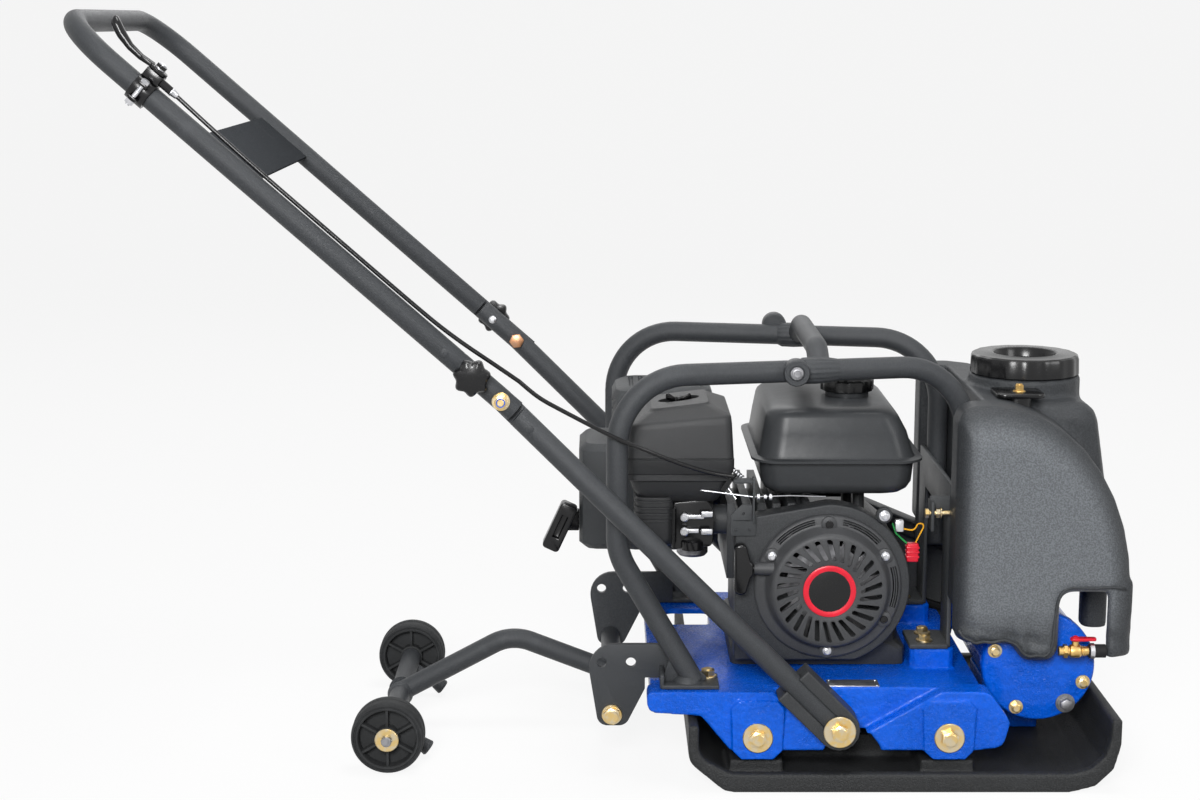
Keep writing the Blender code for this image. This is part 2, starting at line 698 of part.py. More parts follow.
def console():
    """Cast deck with two side walls, four lugs, the handle pockets and the bracket pads."""
    deck_y = SIDE_Y - SIDE_THICK + 0.004
    deck = [(CONSOLE_REAR + 0.004, -deck_y, 0.008), (DECK_FRONT, -deck_y, 0.008),
            (DECK_FRONT, BELT_NOTCH_Y, 0.006), (BELT_NOTCH_X, BELT_NOTCH_Y, 0.010),
            (BELT_NOTCH_X, deck_y, 0), (CONSOLE_REAR + 0.004, deck_y, 0.008)]
    window = rounded([(-0.262, 0.084, 0.008), (-0.208, 0.084, 0.008), (-0.208, 0.134, 0.008),
                      (-0.262, 0.134, 0.008)], 2)
    body = keep("console", flat_slab([rounded(deck, 3), window], BED_Z - DECK_THICK, BED_Z - SINK),
                BLUE_PAINT)
    lug_low = LUG_Z - 0.026
    wall_low = lug_low + 0.009
    over_lip = REAR_LIP + 3 * RUN
    wall = rounded([(CONSOLE_REAR, BED_Z, 0.006), (CONSOLE_REAR, over_lip + 0.004, 0.010),
                    (-PLATE_LENGTH / 2 + PLATE_THICK + 2 * RUN, over_lip, 0.004),
                    (LUG_REAR_X - LUG_WIDTH / 2, wall_low, 0.006),
                    (LUG_FRONT_X + LUG_WIDTH / 2, wall_low, 0.006),
                    (CONSOLE_NOSE - 0.008, wall_low + 0.004, 0.012),
                    (CONSOLE_NOSE, BED_Z - 0.036, 0.014), (CONSOLE_NOSE - 0.026, BED_Z, 0.014)], 2)
    window_floor = [(PIVOT_X - 0.016, wall_low - SINK), (PIVOT_X + 0.052, wall_low - SINK),
                    (PIVOT_X + 0.044, wall_low + 0.008), (PIVOT_X - 0.012, wall_low + 0.008)]
    wedge = pocket()
    for _, way in SIDES:
        low, high = sorted((way * (SIDE_Y - SIDE_THICK), way * SIDE_Y))
        join(body, wall_slab([wall], low, high))
        low, high = sorted((way * (SIDE_Y - SIDE_THICK + SINK), way * (SIDE_Y + LUG_PROUD)))
        for x in (LUG_REAR_X, LUG_FRONT_X):
            lug = rounded([(x - LUG_WIDTH / 2, BED_Z - 0.010, 0.008),
                           (x - LUG_WIDTH / 2 + 0.003, lug_low, 0.010),
                           (x + LUG_WIDTH / 2 - 0.003, lug_low, 0.010),
                           (x + LUG_WIDTH / 2, BED_Z - 0.010, 0.008)], 1)
            join(body, wall_slab([lug], low, high))
        low, high = sorted((way * POCKET_Y, way * (SIDE_Y + TUBE)))
        cut(body, wall_slab([wedge], low, high))
        low, high = sorted((way * (SIDE_Y - SIDE_THICK - TUBE), way * (SIDE_Y + TUBE)))
        cut(body, wall_slab([window_floor], low, high))
        for x, z in ((LUG_REAR_X, LUG_Z), (LUG_FRONT_X, LUG_Z), (PIVOT_X, PIVOT_Z)):
            cut(body, rod((x, low, z), (x, high, z), bore_for(BOLT, 10), 10))
        low, high = sorted((way * (BRACKET_HALF - BRACKET_LEG - 0.006), way * (BRACKET_HALF + 0.006)))
        pad = rounded([(BRACKET_REAR - 0.006, low, 0.006), (BRACKET_X + 0.004, low, 0.006),
                       (BRACKET_X + 0.004, high, 0.006), (BRACKET_REAR - 0.006, high, 0.006)], 1)
        join(body, flat_slab([pad], BED_Z - DECK_THICK / 2, PAD_Z))


def rubber_mounts():
    """Four rubber buffers, each with the stud that goes through its lug."""
    radius = MOUNT / 2
    stud = BOLT / 2
    length = MOUNT_LENGTH
    tip = length + GAP + SIDE_THICK + LUG_PROUD - 0.002
    profile = [(0, tip), (stud, tip), (stud, length), (radius, length), (radius * 0.9, length / 2),
               (radius, 0), (0, 0)]
    for side, way in SIDES:
        turn = Matrix.Rotation(math.radians(-90 * way), 4, "X")
        for end, x in (("rear", LUG_REAR_X), ("front", LUG_FRONT_X)):
            place = Matrix.Translation((x, way * (UPRIGHT_Y + GAP), LUG_Z))
            keep(f"rubber_mount_{side}_{end}", turned(profile, place @ turn, 12), RUBBER)


def engine_block():
    """Crankcase, finned cylinder, the two ports and the posts under the fuel tank."""
    case_top = CRANK_Z + 0.055
    foot = 0.020
    block = keep("engine_block", stack([
        (BED_Z + GAP, BLOCK_REAR - 0.004, BLOCK_FRONT + 0.008, BLOCK_RIGHT, BLOCK_LEFT, 0.010),
        (BED_Z + foot, BLOCK_REAR - 0.004, BLOCK_FRONT + 0.008, BLOCK_RIGHT, BLOCK_LEFT, 0.010),
        (BED_Z + foot + 0.008, BLOCK_REAR + 0.004, BLOCK_FRONT, BLOCK_RIGHT, BLOCK_LEFT, 0.020),
        (case_top - 0.020, BLOCK_REAR + 0.004, BLOCK_FRONT, BLOCK_RIGHT, BLOCK_LEFT, 0.020),
        (case_top, BLOCK_REAR + 0.030, BLOCK_FRONT - 0.022, BLOCK_RIGHT + 0.012, BLOCK_LEFT - 0.020,
         0.016)], 2), CAST_BLACK)
    head_rear = MUFFLER_FRONT + 0.008
    head_front = CRANK_X - 0.018
    fin_top = TANK_BOTTOM - 0.014
    fin_root = fin_top - 0.024
    fins = 6
    pitch = (head_front - head_rear) / (fins - 0.5)
    comb = [(head_front, CRANK_Z), (head_rear, CRANK_Z)]
    for fin in range(fins):
        x = head_rear + fin * pitch
        if fin:
            comb.append((x, fin_root))
        comb += [(x, fin_top), (x + pitch * 0.5, fin_top)]
        if fin < fins - 1:
            comb.append((x + pitch * 0.5, fin_root))
    join(block, wall_slab([comb], BLOCK_RIGHT + SINK, BLOCK_LEFT - 0.024))
    join(block, rod((head_rear + SINK, CARB_Y, CARB_Z), (CARB_FRONT, CARB_Y, CARB_Z), 0.036, 12))
    exhaust_y = (MUFFLER_RIGHT + MUFFLER_LEFT) / 2 - 0.024
    join(block, rod((head_rear + SINK, exhaust_y, CARB_Z), (MUFFLER_FRONT + GAP, exhaust_y, CARB_Z),
                    0.034, 12))
    for x in (head_front - 0.012, BLOCK_FRONT - 0.046):
        for y in (-0.060, 0.056):
            join(block, rod((x, y, CRANK_Z), (x, y, TANK_BOTTOM - GAP), 0.014, 8))
    cut(block, rod((CRANK_X, BLOCK_RIGHT - TUBE, CRANK_Z), (CRANK_X, BLOCK_LEFT + TUBE, CRANK_Z),
                   CRANK + 2 * GAP, 20))


def fan_and_shroud():
    """Crankshaft, bladed flywheel and the shroud round it."""
    centre = (CRANK_X, 0, CRANK_Z)
    fan_high = BLOCK_RIGHT - GAP - 0.004
    fan_low = fan_high - FAN_DEPTH
    shaft_end = BELT_Y + DRIVE_WIDTH / 2 + RUN
    keep("crankshaft", rod((CRANK_X, fan_low - RUN, CRANK_Z), (CRANK_X, shaft_end, CRANK_Z), CRANK, 20),
         STEEL, centre)
    wheel = []
    for blade in range(FAN_BLADES):
        for share, radius, lean in ((0.0, 0.64, 0), (0.0, 1.0, 0.16), (0.22, 1.0, 0.16), (0.30, 0.64, 0)):
            turn = math.tau * (blade + share + lean) / FAN_BLADES
            wheel.append((CRANK_X + FAN / 2 * radius * math.cos(turn),
                          CRANK_Z + FAN / 2 * radius * math.sin(turn)))
    hole = circle(CRANK_X, CRANK_Z, CRANK + 2 * GAP, 20)
    keep("flywheel_fan", wall_slab([wheel, hole], fan_low, fan_high), CAST_BLACK, centre)
    radius = SHROUD / 2
    low = BED_Z + 0.015
    dip = math.asin((low - CRANK_Z) / radius)
    outline = [(SHROUD_REAR, low)]
    for step in range(13):
        turn = dip + (math.pi / 2 - dip) * step / 12
        outline.append((CRANK_X + radius * math.cos(turn), CRANK_Z + radius * math.sin(turn)))
    outline += [(SHROUD_REAR + 0.024, CRANK_Z + radius), (SHROUD_REAR, CRANK_Z + radius - 0.020)]
    keep("fan_shroud", wall_slab([outline, circle(CRANK_X, CRANK_Z, SHROUD_BORE, 24)], SHROUD_FACE,
                                 BLOCK_RIGHT - GAP),
         BLACK_PAINT)


def recoil_starter():
    """Slotted dish over the fan, and the grip with its rope."""
    base = SHROUD_FACE - GAP
    frame = Matrix.Translation((CRANK_X, base, CRANK_Z)) @ Matrix.Rotation(math.radians(90), 4, "X")
    rim, face, depth, wall = RECOIL / 2, RECOIL_FACE / 2, RECOIL_DEPTH, RECOIL_WALL
    ledge = depth - 0.019
    profile = [(0, depth), (face - 0.003, depth), (face, depth - 0.002), (face + 0.007, ledge + 0.002),
               (face + 0.010, ledge), (rim - 0.003, ledge - 0.001), (rim, ledge - 0.004), (rim, 0),
               (rim - wall, 0),
               (rim - wall, ledge - 0.005), (face + 0.006, ledge - wall), (face - wall, depth - wall),
               (0, depth - wall)]
    cover = keep("recoil_cover", turned(profile, frame, 24), GLOSS_PLASTIC)
    slots = []
    near, far = face * 0.54, face * 0.90
    for slot in range(RECOIL_SLOTS):
        turn = math.tau * slot / RECOIL_SLOTS
        out = Vector((math.cos(turn), math.sin(turn)))
        across = Vector((-out.y, out.x)) * (SLOT_WIDTH / 2)
        lean = Vector((-out.y, out.x)) * (far - near) * 0.36
        centre = Vector((CRANK_X, CRANK_Z))
        inner, outer = centre + out * near, centre + out * far + lean
        narrow = across * 0.7
        slots.append([inner - narrow, inner + narrow, outer + across, outer - across])
    cut(cover, wall_slab(slots, base - depth - RUN, base - depth + 2 * wall))
    boss_radius = rim - RECOIL_BOSS / 2 - RECOIL_WALL / 2
    for degrees in (30, 90, 150, 270):
        turn = math.radians(degrees)
        x = CRANK_X + boss_radius * math.cos(turn)
        z = CRANK_Z + boss_radius * math.sin(turn)
        join(cover, rod((x, base - ledge + 2 * wall, z), (x, base - ledge - wall, z), RECOIL_BOSS, 10))
    pull_z = CRANK_Z + PULL_Z_ABOVE
    seat = PULL_X + 0.006 + GAP
    join(cover, rod((seat, PULL_Y, pull_z), (CRANK_X - face + 0.003, PULL_Y, pull_z), 0.013, 12))
    cut(cover, rod((seat - RUN, PULL_Y, pull_z), (CRANK_X - face * 0.5, PULL_Y, pull_z),
                   bore_for(ROPE, 10), 10))
    half = PULL_HEIGHT / 2
    grip = rounded([(PULL_X - 0.009, pull_z - half, 0.006), (PULL_X + 0.001, pull_z - half, 0.005),
                    (PULL_X + 0.006, pull_z - 0.006, 0.004), (PULL_X + 0.006, pull_z + 0.006, 0.004),
                    (PULL_X + 0.001, pull_z + half, 0.005), (PULL_X - 0.009, pull_z + half, 0.006)], 3)
    handle = keep("recoil_handle", wall_slab([grip], PULL_Y - 0.008, PULL_Y + 0.008), BLACK_PLASTIC,
                  (PULL_X, PULL_Y, pull_z))
    soften(handle, 0.0025)
    join(handle, rod((PULL_X, PULL_Y, pull_z), (PULL_X + ROPE_REACH, PULL_Y, pull_z), ROPE, 8))


def fuel_tank():
    """Pressed tank with a seam flange, and its cap."""

    def section(z, inset, radius, lean=1.0):
        return (z, TANK_REAR + inset, TANK_FRONT - inset * lean, TANK_RIGHT + inset, TANK_LEFT - inset,
                radius)

    rise = TANK_TOP - TANK_SEAM
    tank = keep("fuel_tank", stack([
        section(TANK_BOTTOM, 0.018, 0.020), section(TANK_BOTTOM + 0.014, 0.005, 0.026),
        section(TANK_SEAM - 0.0025, 0.002, 0.028), section(TANK_SEAM - 0.0020, -FLANGE, 0.032),
        section(TANK_SEAM + 0.0015, -FLANGE, 0.032), section(TANK_SEAM + 0.0020, 0.002, 0.028),
        section(TANK_SEAM + rise * 0.50, 0.006, 0.028, 1.8),
        section(TANK_SEAM + rise * 0.80, 0.010, 0.026, 2.2),
        section(TANK_SEAM + rise * 0.95, 0.017, 0.024, 1.9), section(TANK_TOP, 0.029, 0.020, 1.5)], 3),
        BLACK_PAINT)
    neck_top = TANK_TOP + 0.006
    join(tank, rod((FUEL_CAP_X, FUEL_CAP_Y, TANK_TOP - 0.006), (FUEL_CAP_X, FUEL_CAP_Y, neck_top),
                   FUEL_CAP * 0.8, 20))
    seat = neck_top + GAP
    top = seat + FUEL_CAP_HEIGHT
    radius = FUEL_CAP / 2
    profile = [(0, top), (radius - 0.005, top), (radius - 0.001, top - 0.004), (radius, seat + 0.004),
               (radius - 0.001, seat), (0, seat)]
    place = (FUEL_CAP_X, FUEL_CAP_Y, seat)
    keep("fuel_cap", turned(profile, Matrix.Translation((FUEL_CAP_X, FUEL_CAP_Y, 0)), 20), GLOSS_PLASTIC,
         place)


def intake():
    """Air cleaner, carburettor and the control bracket on the shroud."""

    def section(z, inset, radius):
        return (z, CLEANER_REAR + inset, CLEANER_FRONT - inset, CLEANER_RIGHT + inset,
                CLEANER_LEFT - inset, radius)

    seam = CLEANER_SEAM
    rise = CLEANER_TOP - seam
    shell = stack([
        section(seam + GAP, 0, 0.012), section(seam + 0.010, 0, 0.012), section(seam + 0.011, 0.003, 0.011),
        section(seam + rise * 0.76, 0.004, 0.011), section(seam + rise * 0.86, 0.009, 0.011),
        section(CLEANER_TOP, 0.030, 0.010)], 3)
    for point in shell.vertices:
        back = (CLEANER_FRONT - point.co.x) / (CLEANER_FRONT - CLEANER_REAR)
        point.co.z -= CLEANER_FALL * back * max(0.0, (point.co.z - seam - GAP) / rise)
    cover = keep("air_cleaner_cover", shell, BLACK_PLASTIC)
    middle_x = (CLEANER_REAR + CLEANER_FRONT) / 2
    middle_y = (CLEANER_RIGHT + CLEANER_LEFT) / 2
    stud_low = CLEANER_TOP - CLEANER_FALL
    join(cover, rod((middle_x, middle_y, stud_low), (middle_x, middle_y, CLEANER_TOP + 0.004), 0.014, 12))
    base = keep("air_cleaner_base", stack([
        section(seam - 0.036, 0.018, 0.012), section(seam - 0.020, 0.008, 0.012),
        section(seam - 0.008, 0.004, 0.012), section(seam - 0.007, 0, 0.012), section(seam, 0, 0.012)], 2),
        BLACK_PLASTIC)
    join(base, stack([
        (CLEANER_BOTTOM, CLEANER_REAR + 0.018, ELBOW_FRONT, -0.128, -0.046, 0.012),
        (CLEANER_BOTTOM + 0.012, CLEANER_REAR + 0.010, ELBOW_FRONT, -0.132, -0.042, 0.012),
        (seam - 0.030, CLEANER_REAR + 0.012, ELBOW_FRONT, -0.130, -0.042, 0.012)], 2))

    body = keep("carburettor", rod((ELBOW_FRONT + GAP, CARB_Y, CARB_Z),
                                   (CARB_FRONT - GAP, CARB_Y, CARB_Z), CARB, 14), STEEL)
    middle = (ELBOW_FRONT + CARB_FRONT) / 2
    join(body, rod((middle, CARB_Y, CARB_Z), (middle, CARB_Y, CARB_Z - 0.044), CARB * 0.80, 14,
                   CARB * 0.72))
    join(body, rod((middle, CARB_Y, CARB_Z), (middle, CARB_Y - CARB * 0.64, CARB_Z), 0.018, 10))

    plate = rounded([(SHROUD_REAR - 0.004, CARB_Z - 0.022, 0.006),
                     (SHROUD_REAR + 0.022, CARB_Z - 0.022, 0.006),
                     (SHROUD_REAR + 0.022, CARB_Z + 0.014, 0.006),
                     (SHROUD_REAR + 0.014, CARB_Z + 0.020, 0.006),
                     (SHROUD_REAR + 0.014, CARB_Z + 0.066, 0.004),
                     (SHROUD_REAR - 0.004, CARB_Z + 0.066, 0.004)], 2)
    face = SHROUD_FACE - GAP
    bracket = keep("control_bracket", wall_slab([plate], face - 0.003, face), STEEL)
    clip = CARB_Z + 0.058
    join(bracket, box((SHROUD_REAR - 0.004, face - 0.014, clip),
                      (SHROUD_REAR + 0.014, face - SINK, clip + 0.004)))


def muffler():
    """Guarded exhaust box, and the catch for the wheel arm on its rear face."""

    def section(z, rear, inset, radius):
        return (z, rear + inset, MUFFLER_FRONT - inset, MUFFLER_RIGHT + inset, MUFFLER_LEFT - inset, radius)

    step = MUFFLER_REAR + MUFFLER_STEP
    box_top = MUFFLER_BOTTOM + MUFFLER_GUARD
    body = keep("muffler", stack([
        section(MUFFLER_BOTTOM, step, 0.012, 0.018), section(MUFFLER_BOTTOM + 0.010, step, 0.001, 0.022),
        section(MUFFLER_TOP - 0.014, step, 0.001, 0.022), section(MUFFLER_TOP - 0.004, step, 0.006, 0.020),
        section(MUFFLER_TOP, step, 0.016, 0.014)], 2), BLACK_PAINT)
    join(body, stack([
        section(MUFFLER_BOTTOM + 0.002, MUFFLER_REAR, 0.008, 0.014),
        section(MUFFLER_BOTTOM + 0.010, MUFFLER_REAR, 0, 0.016),
        section(box_top - 0.008, MUFFLER_REAR, 0, 0.016), section(box_top, MUFFLER_REAR, 0.008, 0.014)], 2))
    lean = math.radians(65)
    along = Vector((math.cos(lean), math.sin(lean)))
    across = Vector((-along.y, along.x))
    middle = Vector((MUFFLER_REAR - 0.024, MUFFLER_BOTTOM + 0.030))
    corners = [middle + along * u + across * v for u,
               v in ((-0.031, -0.011), (0.031, -0.011), (0.031, 0.011), (-0.031, 0.011))]
    low = MUFFLER_RIGHT + 0.004
    catch = keep("arm_catch", wall_slab([rounded([(u, v, 0.004) for u, v in corners], 2)], low,
                                        low + 0.022), BLACK_PAINT)
    seat = MUFFLER_REAR - GAP
    join(catch, box((MUFFLER_REAR - 0.024, low + 0.018, MUFFLER_BOTTOM + 0.022),
                    (seat, low + 0.040, MUFFLER_BOTTOM + 0.046)))
    slot = [middle + along * u + across * v for u,
            v in ((-0.014, -0.004), (0.016, -0.004), (0.016, 0.004), (-0.014, 0.004))]
    cut(catch, wall_slab([slot], low - RUN, low + 0.008))


def cage_y(x):
    """The loops toe in from the rear to the front."""
    return CAGE_REAR_Y + CAGE_TAPER * (x - CAGE_REAR_X)


def cage():
    """Two tube loops with their feet, hitch plates and buffers, and the lifting bar between them."""
    foot_top = BED_Z + GAP + FOOT_THICK
    hitch_inner = HITCH_Y - HITCH_THICK
    for side, way in SIDES:
        rear, front = way * CAGE_REAR_Y, way * CAGE_FRONT_Y
        below = (Vector((CAGE_FOOT_X, rear, foot_top)) - Vector((CAGE_REAR_X, rear,
                                                                 CAGE_KNEE))).normalized() * TUBE_R
        path = bent([(Vector((CAGE_FOOT_X, rear, foot_top)) + below, 0),
                     ((CAGE_REAR_X, rear, CAGE_KNEE), CAGE_BEND),
                     ((CAGE_REAR_X, rear, CAGE_TOP), CAGE_BEND),
                     ((CAGE_FRONT_X, front, CAGE_TOP), CAGE_BEND),
                     ((CAGE_FRONT_X, front, CAGE_END_Z), 0)])
        loop = keep("cage_" + side, pipe(path, TUBE), BLACK_PAINT)
        cut(loop, box((CAGE_FOOT_X - FOOT_LENGTH, rear - TUBE, BED_Z - TUBE),
                      (CAGE_FOOT_X + FOOT_LENGTH, rear + TUBE, foot_top - SINK)))
        low, high = sorted((way * (hitch_inner + SINK), way * (CAGE_REAR_Y + FOOT_WIDTH / 2)))
        join(loop, box((CAGE_FOOT_X - FOOT_LENGTH / 2, low, BED_Z + GAP),
                       (CAGE_FOOT_X + FOOT_LENGTH / 2, high, foot_top)))
        back = CONSOLE_REAR - RUN
        plate = rounded([(HITCH_X - 0.032, HITCH_TOP, 0.030), (CAGE_FOOT_X - 0.008, HITCH_TOP, 0.014),
                         (CAGE_FOOT_X - 0.008, BED_Z + RUN, 0), (back, BED_Z + RUN, 0),
                         (back, BED_Z - 0.012, 0.006),
                         (HITCH_X + 0.016, HITCH_Z - 0.014, 0.013),
                         (HITCH_X - 0.016, HITCH_Z - 0.014, 0.013)], 3)
        holes = [circle(HITCH.x, HITCH.z, bore_for(BOLT, 10), 10),
                 circle(HITCH_X - 0.012, HITCH_TOP - 0.022, BOLT, 8, 0.1),
                 circle(HITCH_X + 0.022, HITCH_TOP - 0.022, BOLT, 8, 0.3)]
        low, high = sorted((way * hitch_inner, way * HITCH_Y))
        join(loop, wall_slab([plate] + holes, low, high))
        buffer_y = way * cage_y(BUMPER_X)
        join(loop, rod((BUMPER_X, buffer_y, CAGE_TOP + 0.004),
                       (BUMPER_X, buffer_y + way * (TUBE_R + 0.012), CAGE_TOP + 0.004), BUMPER, 12))
    end = cage_y(LIFT_X)
    top = CAGE_TOP + LIFT_RISE
    path = bent([((LIFT_X, -end, CAGE_TOP), 0), ((LIFT_X, -end + 0.040, top), 0.040),
                 ((LIFT_X, end - 0.040, top), 0.040), ((LIFT_X, end, CAGE_TOP), 0)])
    bar = keep("lifting_bar", pipe(path, TUBE), BLACK_PAINT)
    for _, way in SIDES:
        ends = [(x, way * cage_y(x), CAGE_TOP) for x in (LIFT_X - 2 * TUBE, LIFT_X + 2 * TUBE)]
        cut(bar, rod(ends[0], ends[1], bore_for(TUBE, 16), 16))


def wheel_set():
    """Gooseneck arm on the hitch bolt, with its axle and two wheels."""
    tube_end = HITCH_Y - HITCH_THICK - RUN
    arm = keep("wheel_arm", rod((HITCH_X, -tube_end, HITCH_Z), (HITCH_X, tube_end, HITCH_Z),
                                ARM_TUBE + 0.003, 10),
               BLACK_PAINT, HITCH)
    neck = bent([((AXLE_X, 0, AXLE_Z), 0), ((ARM_PEAK_X, 0, ARM_PEAK_Z), 0.055), (HITCH, 0)])
    join(arm, pipe(neck, ARM_TUBE))
    axle_end = WHEEL_Y - WHEEL_WIDTH / 2 - RUN
    tip = WHEEL_Y + WHEEL_WIDTH / 2 + 0.010
    join(arm, rod((AXLE_X, -axle_end, AXLE_Z), (AXLE_X, axle_end, AXLE_Z), ARM_TUBE + 0.003, 10))
    join(arm, rod((AXLE_X, -tip, AXLE_Z), (AXLE_X, tip, AXLE_Z), AXLE, 10))
    washer = WHEEL_Y + WHEEL_WIDTH / 2 + RUN
    for _, way in SIDES:
        join(arm, rod((AXLE_X, way * washer, AXLE_Z), (AXLE_X, way * (washer + WASHER_THICK), AXLE_Z),
                      0.028, 10))
        peg = way * (axle_end - 0.026)
        join(arm, rod((AXLE_X, peg, AXLE_Z), (AXLE_X + 0.044, peg, AXLE_Z - 0.033), 0.012, 8, 0.020))
    cut(arm, rod((HITCH_X, -HITCH_Y, HITCH_Z), (HITCH_X, HITCH_Y, HITCH_Z), bore_for(BOLT, 10), 10))

    seat = HITCH_Y + GAP
    shank, head = bolt((HITCH_X, HITCH_Y + THREAD, HITCH_Z), (HITCH_X, -seat, HITCH_Z), BOLT, SMALL_WASHER)
    pin = keep("hitch_bolt", shank, YELLOW_ZINC)
    join(pin, head, rod((HITCH_X, seat, HITCH_Z), (HITCH_X, seat + NUT_HEIGHT, HITCH_Z), NUT_WIDTH, 6))

    outer, half = WHEEL / 2, WHEEL_WIDTH / 2
    hub, bore = 0.014, AXLE / 2 + GAP
    profile = [(outer - 0.005, half), (outer, half - 0.006), (outer, -half + 0.006), (outer - 0.005, -half),
               (outer - 0.014, -half), (outer - 0.014, -0.004), (hub, -0.004), (hub, -half), (bore, -half),
               (bore, half), (hub, half), (hub, 0.004), (outer - 0.014, 0.004), (outer - 0.014, half)]
    for side, way in SIDES:
        place = Vector((AXLE_X, way * WHEEL_Y, AXLE_Z))
        wheel = keep("wheel_" + side, turned(profile, Matrix.Translation(place) @ ALONG_Y, 14),
                     BLACK_PLASTIC, place)
        for spoke in range(WHEEL_SPOKES):
            turn = Matrix.Translation(place) @ Matrix.Rotation(math.tau * (spoke + 0.5) / WHEEL_SPOKES, 4,
                                                               "Y")
            blade = box((hub - 0.001, -half + 0.004, -0.002), (outer - 0.012, half - 0.004, 0.002))
            blade.transform(turn)
            join(wheel, blade)


def on_grip(along, across, above):
    """A place on the upper handle: up from the fold bolt, across the machine, off the tube's middle."""
    return FOLD + GRIP_DIR * along + GRIP_NORMAL * above + Vector((0, across, 0))


def grip_frame(along, across, above):
    """Local X up the upper handle, local Y to the machine's right, local Z off the handle's upper side."""
    place = on_grip(along, across, above)
    return Matrix(((GRIP_DIR.x, 0, GRIP_NORMAL.x, place.x), (0, -1, 0, place.y),
                   (GRIP_DIR.z, 0, GRIP_NORMAL.z, place.z), (0, 0, 0, 1)))


def lap(way, low, high, outside):
    """The half of a tube that is cut away where the two handle parts lie side by side."""
    middle = HANDLE_Y - GAP / 2 if outside else HANDLE_Y + GAP / 2
    far = middle + TUBE if outside else middle - TUBE
    ends = sorted((-way * middle, -way * far))
    block = box((low, ends[0], -TUBE), (high, ends[1], TUBE))
    block.transform(grip_frame(0, 0, 0))
    return block


def handle():
    """Lower legs in their foot blocks, the upper loop, and the bolts and knobs at the fold."""
    stud = BOLT * 0.75
    hole = bore_for(BOLT, 10)
    stud_hole = bore_for(stud, 10)
    leg_end = PIVOT - LEG_DIR * 0.012
    lower_step = math.hypot(LAP_BELOW, TUBE_R) + RUN
    upper_step = math.hypot(LAP_ABOVE, TUBE_R) + RUN
    wide = HANDLE_Y + TUBE
    for side, way in SIDES:
        shift = Vector((0, way * HANDLE_Y, 0))
        path = [leg_end + shift, FOLD + shift, FOLD + GRIP_DIR * LAP_ABOVE + shift]
        leg = keep("leg_" + side, pipe(path, TUBE), BLACK_PAINT, PIVOT)
        cut(leg, lap(way, -lower_step, LAP_ABOVE + TUBE, True))
        for place, size in ((PIVOT, hole), (FOLD, stud_hole)):
            cut(leg, rod((place.x, way * POCKET_Y, place.z), (place.x, way * wide, place.z), size, 10))

        up = Vector((LEG_DIR.x, LEG_DIR.z))
        out = Vector((-up.y, up.x)) * BLOCK_HALF
        pivot = Vector((PIVOT_X, PIVOT_Z))
        outline = []
        for step in range(9):
            outline.append(pivot + Matrix.Rotation(math.pi * step / 8, 2) @ out)
        outline += [pivot - out + up * (BLOCK_LENGTH - BLOCK_HALF),
                    pivot + out + up * (BLOCK_LENGTH - BLOCK_HALF)]
        low, high = sorted((way * (POCKET_Y + GAP), way * (HANDLE_Y + BLOCK_PROUD)))
        block = keep("foot_block_" + side, wall_slab([outline], low, high), BLACK_PAINT, PIVOT)
        groove = [leg_end - LEG_DIR * RUN + shift, PIVOT + LEG_DIR * (BLOCK_LENGTH + TUBE) + shift]
        cut(block, rod(groove[0], groove[1], TUBE + 2 * GAP, 20))
        cut(block, rod((PIVOT_X, way * (POCKET_Y - TUBE), PIVOT_Z), (PIVOT_X, way * wide, PIVOT_Z), hole,
                       10))

        seat = way * (HANDLE_Y + TUBE_R + GAP)
        shank, head = bolt((PIVOT_X, way * (SIDE_Y - SIDE_THICK), PIVOT_Z), (PIVOT_X, seat, PIVOT_Z), BOLT)
        join(keep("pivot_bolt_" + side, shank, YELLOW_ZINC), head)
        inside = way * (HANDLE_Y - TUBE_R - GAP - SINK)
        shank, head = bolt((FOLD.x, inside - way * SINK, FOLD.z), (FOLD.x, seat, FOLD.z), stud,
                           SMALL_WASHER)
        pin = keep("fold_bolt_" + side, shank, YELLOW_ZINC)
        join(pin, head, hexagon_head((FOLD.x, inside, FOLD.z), (0, -way, 0)))

        place = on_grip(KNOB_UP, way * HANDLE_Y, 0)
        star = []
        for step in range(KNOB_LOBES * 3):
            turn = math.tau * step / (KNOB_LOBES * 3)
            radius = KNOB / 2 * (0.90 + 0.10 * math.cos(KNOB_LOBES * turn))
            star.append((place.x + radius * math.cos(turn), place.z + radius * math.sin(turn)))
        low, high = sorted((seat, seat + way * KNOB_DEPTH))
        knob = keep("knob_" + side, wall_slab([star], low, high), GLOSS_PLASTIC, place)
        join(knob, rod((place.x, way * (HANDLE_Y + GAP), place.z),
                       (place.x, seat + way * KNOB_DEPTH / 2, place.z), stud, 12))

    top = GRIP_LENGTH
    path = bent([(on_grip(-LAP_BELOW, -HANDLE_Y, 0), 0), (on_grip(top, -HANDLE_Y, 0), GRIP_BEND),
                 (on_grip(top, HANDLE_Y, 0), GRIP_BEND), (on_grip(-LAP_BELOW, HANDLE_Y, 0), 0)], 5)
    loop = keep("handle_loop", pipe(path, TUBE), BLACK_PAINT, FOLD)
    sign = box((-SIGN_LENGTH / 2, -HANDLE_Y + TUBE_R * 0.5, -SIGN_THICK / 2),
               (SIGN_LENGTH / 2, HANDLE_Y - TUBE_R * 0.5, SIGN_THICK / 2))
    sign.transform(grip_frame(SIGN_UP, 0, 0))
    join(loop, sign)
    for _, way in SIDES:
        cut(loop, lap(way, -LAP_BELOW - TUBE, upper_step, False))
        knob = on_grip(KNOB_UP, 0, 0)
        for place in (FOLD, knob):
            cut(loop, rod((place.x, way * (HANDLE_Y - TUBE), place.z), (place.x, way * wide, place.z),
                          stud_hole, 10))


